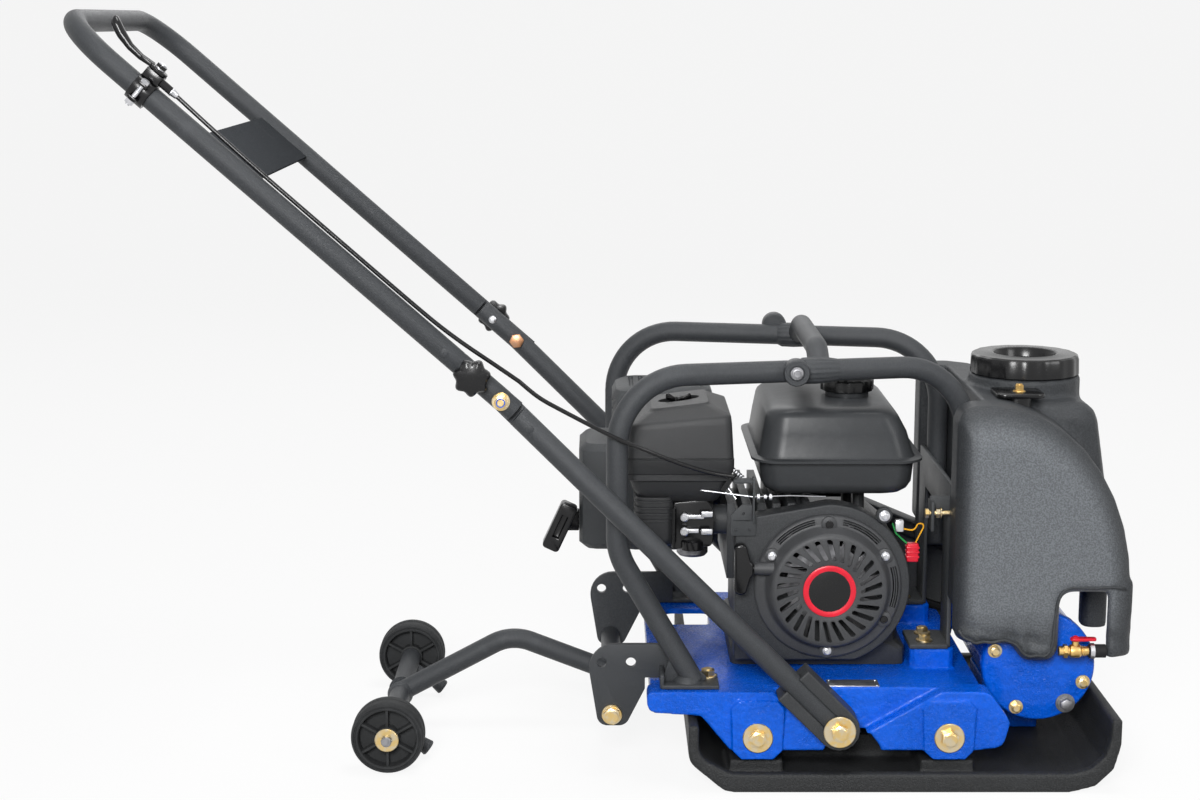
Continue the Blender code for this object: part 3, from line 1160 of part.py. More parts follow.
def smooth(points, spacing):
    """Places at an even spacing on a flowing curve through the points."""
    points = [Vector(point) for point in points]
    points = [2 * points[0] - points[1]] + points + [2 * points[-1] - points[-2]]
    path = []
    for before, start, end, after in zip(points, points[1:], points[2:], points[3:]):
        steps = max(2, round((end - start).length / spacing))
        for step in range(steps):
            t = step / steps
            linear = end - before
            square = 2 * before - 5 * start + 4 * end - after
            cubic = 3 * start - before - 3 * end + after
            path.append(start + 0.5 * (linear * t + square * t ** 2 + cubic * t ** 3))
    path.append(points[-2])
    return path


def throttle():
    """Clamp and lever on the right tube, and the cable down to the engine in two lengths."""
    body_top = LEVER_RISE - GAP
    pin = 0.006
    ring = [(TUBE_R + GAP + CLAMP_WALL, CLAMP_LENGTH / 2), (TUBE_R + GAP + CLAMP_WALL, -CLAMP_LENGTH / 2),
            (TUBE_R + GAP, -CLAMP_LENGTH / 2), (TUBE_R + GAP, CLAMP_LENGTH / 2)]
    frame = grip_frame(CLAMP_UP, -HANDLE_Y, 0)
    clamp = keep("throttle_clamp", turned(ring, frame @ ALONG_X, 14), CAST_BLACK)
    half = CLAMP_LENGTH / 2
    head = box((SINK - half, -half, TUBE_R + GAP + CLAMP_WALL / 2), (half - SINK, half, body_top))
    head.transform(frame)
    cable_above = TUBE_R + GAP + CLAMP_WALL + CABLE / 2
    ferrule = rod(frame @ Vector((-half - 0.014, 0, cable_above)), frame @ Vector((0, 0, cable_above)),
                  CABLE + 0.004, 10)
    lever_thick = 0.004
    post_top = body_top + GAP + lever_thick + GAP
    post = rod(frame @ Vector((0, 0, body_top - 0.002)), frame @ Vector((0, 0, post_top + 0.001)), pin, 12)
    crown = rod(frame @ Vector((0, 0, post_top)), frame @ Vector((0, 0, post_top + 0.005)), 0.013, 6)
    join(clamp, head, ferrule, post, crown)

    hub = 0.011
    tip = LEVER_LENGTH
    arm = rounded([(-hub, hub, 0.010), (-hub, -hub, 0.010), (hub, -hub, 0.006), (tip, -0.012, 0.004),
                   (tip, -0.001, 0.004), (hub, hub, 0.006)], 3)
    level = grip_frame(CLAMP_UP, -HANDLE_Y, body_top + GAP + lever_thick / 2)
    lever = keep("throttle_lever", slab([arm, circle(0, 0, bore_for(pin, 10), 10)], lever_thick, level),
                 BLACK_PLASTIC,
                 level.translation)
    grip = 0.0095
    foot = Vector((tip - 0.0066, -0.0065, 0))
    pad = rod(level @ foot, level @ (foot + Vector((0, 0, LEVER_PAD))), grip, 11)
    join(lever, pad)

    low = CLAMP_UP - half - 0.014 - GAP
    rest = TUBE_R + CABLE / 2 + 2 * GAP
    upper = [on_grip(low, -HANDLE_Y, cable_above), on_grip(low - 0.05, -HANDLE_Y, rest + 0.002),
             on_grip(low - 0.14, -HANDLE_Y, rest), on_grip(low - 0.24, -HANDLE_Y, rest),
             on_grip(low - 0.34, -HANDLE_Y, rest), on_grip(0.095, -HANDLE_Y, rest + 0.001),
             on_grip(0.045, -HANDLE_Y, rest + 0.005), on_grip(0.0, -HANDLE_Y + 0.003, rest + 0.012)]
    keep("throttle_cable_upper", pipe(smooth(upper, 6 * CABLE), CABLE, 1), RUBBER)
    start = on_grip(-CABLE / 2, -HANDLE_Y + 0.0032, rest + 0.0126)
    clip = Vector((SHROUD_REAR - 0.004 - GAP, SHROUD_FACE - 0.012, CARB_Z + 0.064))
    rear = -CAGE_REAR_Y - TUBE_R
    lower = [start, (-0.426, rear - 0.018, 0.456), (-0.393, rear - 0.013, 0.438),
             (-0.359, rear - 0.009, 0.420),
             (CAGE_REAR_X, rear - 0.007, 0.404), (-0.300, rear - 0.003, 0.391),
             (-0.274, rear + 0.007, 0.379),
             (-0.245, rear + 0.021, 0.367), (-0.220, rear + 0.036, clip.z + 0.006), clip]
    keep("throttle_cable_lower", pipe(smooth(lower, 5 * CABLE), CABLE, 1), RUBBER)


def inset(outline, depth):
    """The outline drawn inwards by the same depth all round; it runs anticlockwise."""
    points = [Vector(point) for point in outline]
    moved = []
    for index, here in enumerate(points):
        before = (here - points[index - 1]).normalized()
        after = (points[(index + 1) % len(points)] - here).normalized()
        inward = Vector((-before.y, before.x)) + Vector((-after.y, after.x))
        inward.normalize()
        share = max(0.35, inward.dot(Vector((-before.y, before.x))))
        moved.append(here + inward * (depth / share))
    return moved


def pillow(outline, half, edge):
    """A moulded body across the machine whose side faces are rounded off at the edge."""
    mesh = bpy.data.meshes.new("pillow")
    work = bmesh.new()
    rings = []
    near = [(half, edge), (half - edge * 0.3, edge * 0.3), (half - edge, 0)]
    for y, depth in [(-y, depth) for y, depth in near] + list(reversed(near)):
        rings.append([work.verts.new((u, y, v)) for u, v in inset(outline, depth)])
    for first, second in zip(rings, rings[1:]):
        for i in range(len(first)):
            j = (i + 1) % len(first)
            work.faces.new((first[i], first[j], second[j], second[i]))
    work.faces.new(list(reversed(rings[0])))
    work.faces.new(rings[-1])
    bmesh.ops.recalc_face_normals(work, faces=work.faces)
    work.to_mesh(mesh)
    work.free()
    return mesh


def water_tank():
    """Moulded tank that straddles the exciter, with its cap, bracket, valve and hose."""
    shelf = WATER_BOTTOM + 0.062
    sump_front = 0.184
    centre_x = 0.100
    corners = [(WATER_REAR, WATER_TOP, 0.020), (WATER_REAR, WATER_BOTTOM, 0.018),
               (0.130, WATER_BOTTOM, 0.014),
               (0.142, WATER_SUMP, 0.016), (sump_front, WATER_SUMP, 0.016), (sump_front, shelf, 0.012)]
    for step in range(10):
        turn = math.pi / 2 * step / 9
        corners.append((centre_x + (WATER_FRONT - centre_x) * math.cos(turn),
                        shelf + (WATER_TOP - shelf) * math.sin(turn), 0))
    outline = rounded(corners, 2)
    tank = keep("water_tank", pillow(outline, WATER_SIDE, 0.014), BLACK_PLASTIC)
    lobe = EXCITER_RIGHT + COVER_THICK + 0.012
    under = EXCITER_Z + COVER / 2 + 0.010
    cut(tank, box((WATER_REAR - TUBE, -lobe, WATER_SUMP - TUBE), (WATER_FRONT + TUBE, lobe, under)))
    relief = belt_line(BELT_THICK + GUARD_ROOM + GUARD_WALL + 4 * RUN)
    cut(tank, wall_slab([relief], EXCITER_LEFT + COVER_THICK - 4 * RUN, WATER_SIDE + TUBE))
    recess = CAGE_FRONT_X + TUBE_R + 2 * GAP
    cut(tank, box((WATER_REAR - TUBE, -RECESS_HALF, WATER_SUMP - TUBE),
                  (recess, RECESS_HALF, WATER_TOP + TUBE)))
    crown = WATER_TOP - 0.010
    body = rounded([(recess + 0.006, shelf + 0.04, 0), (WATER_FRONT - 0.014, shelf + 0.04, 0),
                    (WATER_FRONT - 0.012, shelf + 0.10, 0.040), (0.238, crown, 0.026),
                    (recess + 0.006, crown, 0)], 3)
    join(tank, pillow(body, 0.095, 0.018))
    for top, size in ((COLLAR_TOP, COLLAR), (NECK_TOP, NECK)):
        join(tank, rod((WATER_CAP_X, 0, crown - 0.010), (WATER_CAP_X, 0, top), size, 20))
    leg_low = WATER_SUMP + 0.005
    leg_rear = WATER_FRONT - 0.028
    leg_front = WATER_FRONT + 0.003
    for y_low, y_high in ((-WATER_SIDE + 0.001, -lobe), (-0.056, -0.022)):
        join(tank, stack([(leg_low, leg_rear, leg_front, y_low, y_high, 0.009),
                          (shelf + 0.012, leg_rear, leg_front, y_low, y_high, 0.009)], 2))

    cap_low = COLLAR_TOP + GAP
    cap_top = cap_low + WATER_CAP_HEIGHT
    rim, inner, seat = WATER_CAP / 2, NECK / 2 + 2 * GAP, NECK_TOP + GAP
    profile = [(0, seat + 0.006), (rim * 0.48, seat + 0.006), (rim * 0.54, cap_top), (rim - 0.005, cap_top),
               (rim, cap_top - 0.005), (rim, cap_low), (inner, cap_low), (inner, seat), (0, seat)]
    keep("water_cap", turned(profile, Matrix.Translation((WATER_CAP_X, 0, 0)), 20), BLACK_PLASTIC,
         (WATER_CAP_X, 0, seat))

    sole = PAD_Z + GAP
    slot = BRACKET_HALF - BRACKET_LEG
    arch = [(-BRACKET_HALF, sole), (-BRACKET_HALF, BRACKET_TOP), (BRACKET_HALF, BRACKET_TOP),
            (BRACKET_HALF, sole),
            (slot, sole), (slot, BRACKET_TOP - BRACKET_BAR), (-slot, BRACKET_TOP - BRACKET_BAR),
            (-slot, sole)]
    frame = Matrix.Translation((BRACKET_X - BRACKET_THICK / 2, 0, 0)) @ FACING_X
    bracket = keep("tank_bracket", slab([arch], BRACKET_THICK, frame), BLACK_PAINT)
    for _, way in SIDES:
        low, high = sorted((way * slot, way * BRACKET_HALF))
        join(bracket, box((BRACKET_REAR, low, sole), (BRACKET_X - SINK, high, sole + BRACKET_THICK)))

    valve_y = -(WATER_SIDE + lobe) / 2
    start = sump_front + GAP
    end = start + VALVE_LENGTH
    radius = VALVE / 2
    profile = [(0, end), (radius * 0.7, end), (radius * 0.7, end - 0.008), (radius, end - 0.010),
               (radius, start + 0.014),
               (radius * 0.7, start + 0.012), (radius * 0.7, start), (0, start)]
    place = Matrix.Translation((0, valve_y, VALVE_Z)) @ ALONG_X
    valve = keep("water_valve", turned(profile, place, 10), BRASS)
    stem_x = (start + 0.014 + end - 0.010) / 2
    stem_top = VALVE_Z + radius + 0.004
    join(valve, rod((stem_x, valve_y, VALVE_Z), (stem_x, valve_y, stem_top), 0.008, 12))
    blade = rounded([(stem_x - 0.006, valve_y - 0.005, 0.004), (stem_x + 0.024, valve_y - 0.004, 0.003),
                     (stem_x + 0.024, valve_y + 0.004, 0.003), (stem_x - 0.006, valve_y + 0.005, 0.004)], 2)
    keep("valve_lever", flat_slab([blade], stem_top + GAP, stem_top + GAP + 0.004), RED_PLASTIC,
         (stem_x, valve_y, stem_top))
    keep("water_hose", pipe([(end + GAP, valve_y, VALVE_Z), (leg_rear - GAP, valve_y, VALVE_Z)], HOSE, 3),
         RUBBER)


base_plate()
exciter()
belt_drive()
console()
rubber_mounts()
engine_block()
fan_and_shroud()
recoil_starter()
fuel_tank()
intake()
muffler()
cage()
wheel_set()
handle()
throttle()
water_tank()
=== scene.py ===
"""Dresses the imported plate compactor: finer tubes and mouldings, fasteners, finishes and a studio."""
import json
import math

import bmesh
import bpy
from bpy.props import FloatProperty, FloatVectorProperty, IntProperty, PointerProperty
from mathutils import Matrix, Vector


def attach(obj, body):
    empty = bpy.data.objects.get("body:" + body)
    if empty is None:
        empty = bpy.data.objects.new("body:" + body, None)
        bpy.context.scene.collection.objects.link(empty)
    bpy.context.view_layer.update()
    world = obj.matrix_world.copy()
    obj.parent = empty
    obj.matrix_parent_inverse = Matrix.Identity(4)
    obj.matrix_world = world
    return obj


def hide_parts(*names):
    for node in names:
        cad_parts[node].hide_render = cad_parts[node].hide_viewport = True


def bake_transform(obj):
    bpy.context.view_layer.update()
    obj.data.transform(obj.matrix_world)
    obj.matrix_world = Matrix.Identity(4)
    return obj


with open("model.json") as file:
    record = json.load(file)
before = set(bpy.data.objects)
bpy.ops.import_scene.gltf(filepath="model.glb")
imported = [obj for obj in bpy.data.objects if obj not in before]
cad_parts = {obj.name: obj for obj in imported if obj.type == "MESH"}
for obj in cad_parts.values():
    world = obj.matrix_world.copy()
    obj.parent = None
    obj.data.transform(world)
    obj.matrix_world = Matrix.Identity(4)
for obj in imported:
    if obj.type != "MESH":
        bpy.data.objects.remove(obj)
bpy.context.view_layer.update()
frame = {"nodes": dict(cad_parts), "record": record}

bl_info = {
    "name": "Plate compactor dressing",
    "version": (1, 0, 0),
    "blender": (4, 5, 0),
    "location": "View3D > Sidebar > Compactor",
    "description": "Builds the visible pieces of a walk-behind plate compactor round its packed solids",
    "category": "Object",
}

NODES = frame["nodes"]
CHASSIS = "chassis"
WAYS = RIGHT, LEFT = -1, 1
SIDES = (("right", RIGHT), ("left", LEFT))

# Places of the machine, in metres, as its solids have them
TUBE = 0.0254
PIVOT = Vector((-0.075, 0, 0.073))
FOLD = Vector((-0.457545, 0, 0.455545))
GRIP_ANGLE = math.radians(41.4)
GRIP_DIR = Vector((-math.cos(GRIP_ANGLE), 0, math.sin(GRIP_ANGLE)))
GRIP_UP = Vector((math.sin(GRIP_ANGLE), 0, math.cos(GRIP_ANGLE)))
LEG_DIR = Vector((-math.sqrt(0.5), 0, math.sqrt(0.5)))
HANDLE_Y = 0.222
GRIP_LENGTH = 0.626
GRIP_BEND = 0.070
CRANK = Vector((-0.082, 0, 0.219))
EXCITER = Vector((0.167, 0, 0.124))
HITCH = Vector((-0.334, 0, 0.070))
AXLE = Vector((-0.597, 0, 0.0435))
CAGE_REAR = Vector((-0.3285, 0.184, 0.270))
CAGE_FRONT = Vector((0.081, 0.100, 0.300))
CAGE_TOP = 0.474
CAGE_BEND = 0.080
BED_Z = 0.113
FOOT_TOP = BED_Z + 0.0053
COLLAR_X = -0.124
COLLAR_LIFT = {RIGHT: 0.001, LEFT: 0.011}
SIDE_Y = 0.214
LUG_REAR_X = -0.167
LUG_FRONT_X = 0.053
LUG_Z = 0.060
LUG_PROUD = 0.004

# Turns that point local Z to a side of the machine
FACE_RIGHT = Matrix.Rotation(math.radians(90), 4, "X")
FACE_LEFT = Matrix.Rotation(math.radians(-90), 4, "X")
FACE_FRONT = Matrix.Rotation(math.radians(90), 4, "Y")
FACE_REAR = Matrix.Rotation(math.radians(-90), 4, "Y")
FACE_DOWN = Matrix.Rotation(math.pi, 4, "X")


def facing(way):
    return FACE_RIGHT if way == RIGHT else FACE_LEFT


def at(*place):
    return Matrix.Translation(Vector(place))


def on_grip(along, across, above):
    """A place on the upper handle: up from the fold bolt, across the machine, off the tubes' plane."""
    return FOLD + GRIP_DIR * along + GRIP_UP * above + Vector((0, across, 0))


def grip_frame(along, across, above):
    """Local X up the upper handle, local Y to the right, local Z off its upper side."""
    place = on_grip(along, across, above)
    return Matrix(((GRIP_DIR.x, 0, GRIP_UP.x, place.x), (0, -1, 0, place.y),
                   (GRIP_DIR.z, 0, GRIP_UP.z, place.z), (0, 0, 0, 1)))


def spun(degrees):
    return Matrix.Rotation(math.radians(degrees), 4, "Z")


def tipped(place, degrees):
    """A turn about the machine's cross axis through a place."""
    return at(*place) @ Matrix.Rotation(math.radians(degrees), 4, "Y") @ at(*(-Vector(place)))


def span(way, near, far):
    """The low and the high end of a stretch across one side of the machine."""
    return sorted((way * near, way * far))


def clamp(value):
    return max(0.0, min(1.0, value))


def cage_side(x):
    """How far a cage tube lies from the middle: the two draw in towards the front."""
    taper = (CAGE_FRONT.y - CAGE_REAR.y) / (CAGE_FRONT.x - CAGE_REAR.x)
    return CAGE_REAR.y + taper * (x - CAGE_REAR.x)


def toward(start, end):
    """A frame at the start whose local Z points at the end."""
    way = Vector(end) - Vector(start)
    return at(*start) @ way.to_track_quat("Z", "Y").to_matrix().to_4x4()


# Shader maths


class Value:
    """One output of a tree's nodes, so that shader maths reads as Python."""

    def __init__(self, owner, socket):
        self.owner = owner
        self.socket = socket

    def maths(self, operation, first, second):
        return self.owner.node("ShaderNodeMath", {"operation": operation}, {0: first, 1: second})

    def __add__(self, other):
        return self.maths("ADD", self, other)

    def __sub__(self, other):
        return self.maths("SUBTRACT", self, other)

    def __rsub__(self, other):
        return self.maths("SUBTRACT", other, self)

    def __mul__(self, other):
        return self.maths("MULTIPLY", self, other)

    __radd__ = __add__
    __rmul__ = __mul__


class Tree:
    """The nodes of a material or of the room."""

    def __init__(self, owner):
        owner.use_nodes = True
        self.tree = owner.node_tree

    def node(self, kind, settings=None, values=None, out=0):
        """Any node: its settings first, then the values or links of its sockets."""
        made = self.tree.nodes.new(kind)
        for key, value in (settings or {}).items():
            setattr(made, key, value)
        for key, value in (values or {}).items():
            self.feed(made.inputs[key], value)
        return Value(self, made.outputs[out])

    def feed(self, socket, value):
        if isinstance(value, Value):
            self.tree.links.new(value.socket, socket)
        else:
            socket.default_value = value

    def shown(self):
        """1 where a ray shows what it meets: from the camera, off a gloss or through glass."""
        rays = ("Is Camera Ray", "Is Glossy Ray", "Is Transmission Ray")
        seen, mirrored, through = [self.node("ShaderNodeLightPath", out=ray) for ray in rays]
        return seen + mirrored + through


class Finish(Tree):
    """A material on one Principled shader, read in the object's own coordinates."""

    def __init__(self, name):
        self.material = bpy.data.materials.new(name)
        super().__init__(self.material)
        self.shader = self.tree.nodes["Principled BSDF"]
        self.place = self.node("ShaderNodeTexCoord", out="Object")

    def noise(self, scale, detail=3.0, roughness=0.55, where=None):
        values = {"Vector": where or self.place, "Scale": scale, "Detail": detail, "Roughness": roughness}
        return self.node("ShaderNodeTexNoise", None, values, "Fac")

    def between(self, low, high, value):
        """The value taken from a low and a high edge to 0 and 1."""
        return self.node("ShaderNodeMapRange", {"interpolation_type": "SMOOTHSTEP"},
                         {"Value": value, "From Min": low, "From Max": high}, "Result")

    def mix(self, first, second, factor):
        return self.node("ShaderNodeMix", {"data_type": "RGBA"}, {0: factor, 6: first, 7: second}, 2)

    def bump(self, height, distance, strength=1.0):
        values = {"Height": height, "Distance": distance, "Strength": strength}
        return self.node("ShaderNodeBump", None, values, "Normal")

    def stretched(self, scale):
        return self.node("ShaderNodeMapping", {"vector_type": "POINT"},
                         {"Vector": self.place, "Scale": scale})

    def set(self, **values):
        for key, value in values.items():
            self.feed(self.shader.inputs[key.replace("_", " ")], value)
        return self.material


def tone(colour, by=1.0):
    return (colour[0] * by, colour[1] * by, colour[2] * by, 1.0)


def textured_paint(name, colour, grain, rough, depth, shine=0.24):
    """Powder paint: a fine even texture with slightly lighter peaks."""
    finish = Finish(name)
    fine = finish.noise(grain, 2.0)
    broad = finish.noise(26.0, 3.0)
    peaks = finish.between(0.42, 0.72, fine)
    base = finish.mix(tone(colour, 0.72), tone(colour, 1.45), peaks)
    worn = finish.mix(base, tone(colour, 1.9), finish.between(0.56, 0.80, broad) * 0.28)
    return finish.set(Base_Color=worn, Roughness=rough + (broad - 0.5) * 0.16 + peaks * 0.06,
                      Specular_IOR_Level=shine, Normal=finish.bump(fine, depth))


def cast_paint(name, colour, gloss):
    """Thick gloss paint over a sand casting: pits and lumps that catch the light, and pale specks painted
    into the colour as glints.
    """
    finish = Finish(name)
    sand = finish.noise(430.0, 4.0, 0.62)
    lumps = finish.noise(150.0, 3.0)
    area = finish.between(0.40, 0.62, finish.noise(11.0, 2.0))
    height = sand * (0.15 + area * 0.85) + lumps * 0.9
    swell = finish.between(0.30, 0.70, lumps)
    base = finish.mix(tone(colour, 0.90), tone(colour, 1.08), swell)
    # Painted glints: pale specks in the colour stand in for light caught by the gloss paint
    painted_glints = finish.mix(base, (0.46, 0.64, 0.96, 1), finish.between(0.63, 0.72, sand) * area * 0.26)
    return finish.set(Base_Color=painted_glints, Roughness=gloss + sand * 0.14, Coat_Weight=0.26 - area * 0.10,
                      Coat_Roughness=0.07, Specular_IOR_Level=0.12, Normal=finish.bump(height, 0.0022, 1.0))


def moulded(name, colour, grain, rough, depth, coarse=0.0, shine=0.26, painted_lit_face=0.0):
    """Moulded plastic with a fine grain; coarse adds a hollow moulding's wavy skin, and the last argument
    sets how much paler the flats marked by the mesh's mask are painted: painted light on the lit faces, so
    that their borders read darker.
    """
    finish = Finish(name)
    fine = finish.noise(grain, 3.0)
    wave = finish.noise(38.0, 2.0)
    cloud = finish.noise(9.0, 3.0)
    base = finish.mix(tone(colour, 0.75), tone(colour, 1.35),
                      finish.between(0.35, 0.70, fine) * 0.7 + wave * 0.3)
    fade_and_painted_light = finish.mix(base, tone(colour, 1.9), finish.between(0.50, 0.80, cloud) * 0.35)
    # Painted light: a paler colour is painted on the flats that the mesh's mask marks, so lit faces read
    # lighter than their darker borders
    if painted_lit_face:
        pale = finish.mix(tone(colour, 0.75 * painted_lit_face), tone(colour, 1.25 * painted_lit_face),
                          finish.between(0.36, 0.66, fine))
        fade_and_painted_light = finish.mix(fade_and_painted_light, pale,
                           finish.node("ShaderNodeAttribute", {"attribute_name": "painted_lit_face"}, out="Fac"))
    return finish.set(Base_Color=fade_and_painted_light, Roughness=rough + (cloud - 0.5) * 0.14 + (fine - 0.5) * 0.10,
                      Specular_IOR_Level=shine, Normal=finish.bump(fine + wave * coarse, depth))


def plated(name, colour, tint, rough):
    """Plated steel: brushed streaks and a drifting tint."""
    finish = Finish(name)
    streak = finish.noise(1.0, 4.0, where=finish.stretched((260.0, 1500.0, 1500.0)))
    drift = finish.noise(120.0, 2.0)
    base = finish.mix(tone(colour), tone(tint), finish.between(0.38, 0.66, drift))
    soil = finish.mix(base, tone(colour, 0.45), finish.between(0.62, 0.82, streak) * 0.45)
    return finish.set(Base_Color=soil, Metallic=1.0, Roughness=rough + streak * 0.18,
                      Normal=finish.bump(streak, 0.0002, 0.5))


def plain_rubber(name, colour):
    finish = Finish(name)
    fine = finish.noise(900.0, 3.0)
    dust = finish.between(0.45, 0.75, finish.noise(40.0, 4.0))
    base = finish.mix(tone(colour), tone(colour, 2.1), dust * 0.5)
    return finish.set(Base_Color=base, Roughness=0.62 + dust * 0.16, Specular_IOR_Level=0.16,
                      Normal=finish.bump(fine, 0.0003))


def glossy(name, colour, rough=0.20, shine=0.34):
    """Polished plastic with faint flow marks and handling dust."""
    finish = Finish(name)
    flow = finish.noise(55.0, 3.0)
    dust = finish.between(0.58, 0.80, finish.noise(700.0, 2.0))
    base = finish.mix(tone(colour), tone(colour, 2.2), dust * 0.25 + finish.between(0.5, 0.8, flow) * 0.15)
    return finish.set(Base_Color=base, Roughness=rough + dust * 0.12 + flow * 0.05, Specular_IOR_Level=shine,
                      Normal=finish.bump(flow, 0.0004, 0.5))


FINISHES = {}


def finishes():
    """Makes the finishes once, from the colours that the user set."""
    if FINISHES:
        return FINISHES
    hues = bpy.context.scene.compactor_colours
    FINISHES.update({
        "tube": textured_paint("textured_black_tube", hues.tube, 1500.0, 0.40, 0.00045),
        # The handle panel is the tube paint made 1.5 times lighter with its reflection turned off: its paler
        # colour is a painted sheen in place of the reflection
        "panel": textured_paint("textured_black_panel", tone(hues.tube, 1.5), 1500.0, 0.70, 0.00045, 0.0),
        "sheet": textured_paint("black_sheet_steel", hues.sheet, 1900.0, 0.46, 0.0003),
        "blue": cast_paint("blue_cast_paint", hues.casting, 0.20),
        "plate": textured_paint("black_plate_casting", hues.plate, 620.0, 0.50, 0.0012),
        "engine": textured_paint("black_engine_paint", hues.engine, 1400.0, 0.42, 0.0003),
        "fuel": glossy("black_tank_enamel", hues.engine, 0.30, 0.17),
        "cover": moulded("satin_engine_plastic", tone(hues.plastic, 1.3), 1300.0, 0.42, 0.0003),
        "cleaner": moulded("grained_cleaner_plastic", tone(hues.plastic, 0.65), 1700.0, 0.40, 0.0003),
        # The last value paints the tank's side flats lighter than their borders: painted light on the lit
        # faces
        "water": moulded("hollow_moulded_tank", hues.water, 520.0, 0.46, 0.0008, 0.9, 0.20, 3.6),
        "gloss": glossy("gloss_black_plastic", hues.gloss),
        "rubber": plain_rubber("black_rubber", hues.rubber),
        "wheel": plain_rubber("grey_wheel_plastic", hues.wheel),
        "yellow": plated("yellow_zinc", (0.64, 0.46, 0.19), (0.58, 0.50, 0.35), 0.24),
        "steel": plated("bright_steel", (0.58, 0.58, 0.60), (0.44, 0.45, 0.47), 0.24),
        "copper": plated("brown_plate", (0.50, 0.25, 0.13), (0.42, 0.24, 0.15), 0.30),
        "iron": plated("dull_machined_iron", (0.26, 0.26, 0.27), (0.17, 0.17, 0.18), 0.40),
        "brass": plated("satin_brass", (0.66, 0.45, 0.17), (0.52, 0.33, 0.11), 0.28),
        "red": glossy("red_plastic", hues.red, 0.28),
        "green": plain_rubber("green_lead", (0.02, 0.20, 0.05)),
        "amber": plain_rubber("amber_lead", (0.70, 0.34, 0.02)),
    })
    return FINISHES


# Modelling


def start():
    """Object mode with nothing selected."""
    active = bpy.context.object
    if active and active.mode != "OBJECT":
        bpy.ops.object.mode_set(mode="OBJECT")
    bpy.ops.object.select_all(action="DESELECT")


def choose(*things):
    start()
    for thing in things:
        thing.select_set(True)
    bpy.context.view_layer.objects.active = things[0]


def settle(thing, place=None):
    """Puts a finished mesh where it belongs and leaves its object at the origin."""
    choose(thing)
    if place is not None:
        thing.matrix_world = place
    bpy.ops.object.transform_apply(location=True, rotation=True, scale=True)
    return thing


def apply(thing, kind, **settings):
    choose(thing)
    made = thing.modifiers.new(kind.title(), kind)
    for key, value in settings.items():
        setattr(made, key, value)
    bpy.ops.object.modifier_apply(modifier=made.name)
    return thing


def soft_edges(thing, width, segments=2):
    return apply(thing, "BEVEL", width=width, segments=segments, limit_method="ANGLE",
                 angle_limit=math.radians(32), use_clamp_overlap=True)


def shade(thing, angle=35):
    choose(thing)
    bpy.ops.object.shade_smooth_by_angle(angle=math.radians(angle))
    return thing


def edit():
    """Edit mode with everything selected."""
    bpy.ops.object.mode_set(mode="EDIT")
    bpy.ops.mesh.select_all(action="SELECT")


def draw_out(way):
    bpy.ops.mesh.extrude_region_move(TRANSFORM_OT_translate={"value": way})


def tidy_mesh(thing, fill=True):
    """Merges doubles, closes holes and turns the faces outwards."""
    choose(thing)
    edit()
    bpy.ops.mesh.remove_doubles(threshold=0.00001)
    if fill:
        bpy.ops.mesh.fill_holes(sides=0)
        bpy.ops.mesh.select_all(action="SELECT")
    bpy.ops.mesh.normals_make_consistent(inside=False)
    bpy.ops.object.mode_set(mode="OBJECT")
    return thing


def lathe(profile, place=None, sides=64):
    """A turned piece: a ring is drawn out and resized along the profile (radius, height)."""
    start()
    bpy.ops.mesh.primitive_circle_add(vertices=sides, radius=profile[0][0], location=(0, 0, 0))
    thing = bpy.context.object
    bpy.ops.object.mode_set(mode="EDIT")
    bpy.ops.transform.translate(value=(0, 0, profile[0][1]))
    for (radius, height), (next_radius, next_height) in zip(profile, profile[1:]):
        draw_out((0, 0, next_height - height))
        share = next_radius / radius
        bpy.ops.transform.resize(value=(share, share, 1))
    bpy.ops.object.mode_set(mode="OBJECT")
    tidy_mesh(thing)
    return settle(thing, place) if place is not None else thing


def tube(corners, diameter, sides=28, steps=12):
    """A bent tube through (place, bend radius): a ring is drawn along the runs and spun round the bends."""
    places = [Vector(place) for place, _ in corners]
    start()
    bpy.ops.mesh.primitive_circle_add(vertices=sides, radius=diameter / 2, location=(0, 0, 0))
    thing = bpy.context.object
    settle(thing, toward(places[0], places[1]))
    edit()
    here = places[0]
    for index in range(1, len(corners)):
        corner, radius = places[index], corners[index][1]
        if radius <= 0:
            draw_out(corner - here)
            here = corner
            continue
        back = (places[index - 1] - corner).normalized()
        ahead = (places[index + 1] - corner).normalized()
        half = back.angle(ahead) / 2
        reach = radius / math.tan(half)
        entry = corner + back * reach
        centre = corner + (back + ahead).normalized() * (radius / math.sin(half))
        axis = ahead.cross(-back).normalized()
        draw_out(entry - here)
        bpy.ops.mesh.spin(steps=steps, angle=math.pi - 2 * half, center=centre, axis=axis)
        here = corner + ahead * reach
    bpy.ops.object.mode_set(mode="OBJECT")
    return tidy_mesh(thing)


def rod(begin, end, diameter, sides=12):
    return tube([(begin, 0), (end, 0)], diameter, sides)


def flowing(places, diameter, sides=14):
    """A soft line through places, each turned as widely as its neighbours allow."""
    places = [Vector(place) for place in places]
    corners = [(places[0], 0)]
    for before, here, after in zip(places, places[1:], places[2:]):
        back, ahead = before - here, after - here
        corners.append((here, 0.48 * min(back.length, ahead.length) * math.tan(back.angle(ahead) / 2)))
    corners.append((places[-1], 0))
    return tube(corners, diameter, sides, 4)


def filled(outline, height):
    """A face in edit mode: the points of a filled ring are moved to the outline."""
    start()
    bpy.ops.mesh.primitive_circle_add(vertices=len(outline), radius=0.01, fill_type="NGON",
                                      location=(0, 0, 0))
    thing = bpy.context.object
    for point, (u, v) in zip(thing.data.vertices, outline):
        point.co = (u, v, height)
    edit()
    return thing


def plate(outline, thickness, place=None, bevel=0.0, segments=2):
    """A flat plate: a face drawn out."""
    thing = filled(outline, -thickness / 2)
    draw_out((0, 0, thickness))
    bpy.ops.object.mode_set(mode="OBJECT")
    tidy_mesh(thing, False)
    if bevel:
        soft_edges(thing, bevel, segments)
    return settle(thing, place) if place is not None else thing


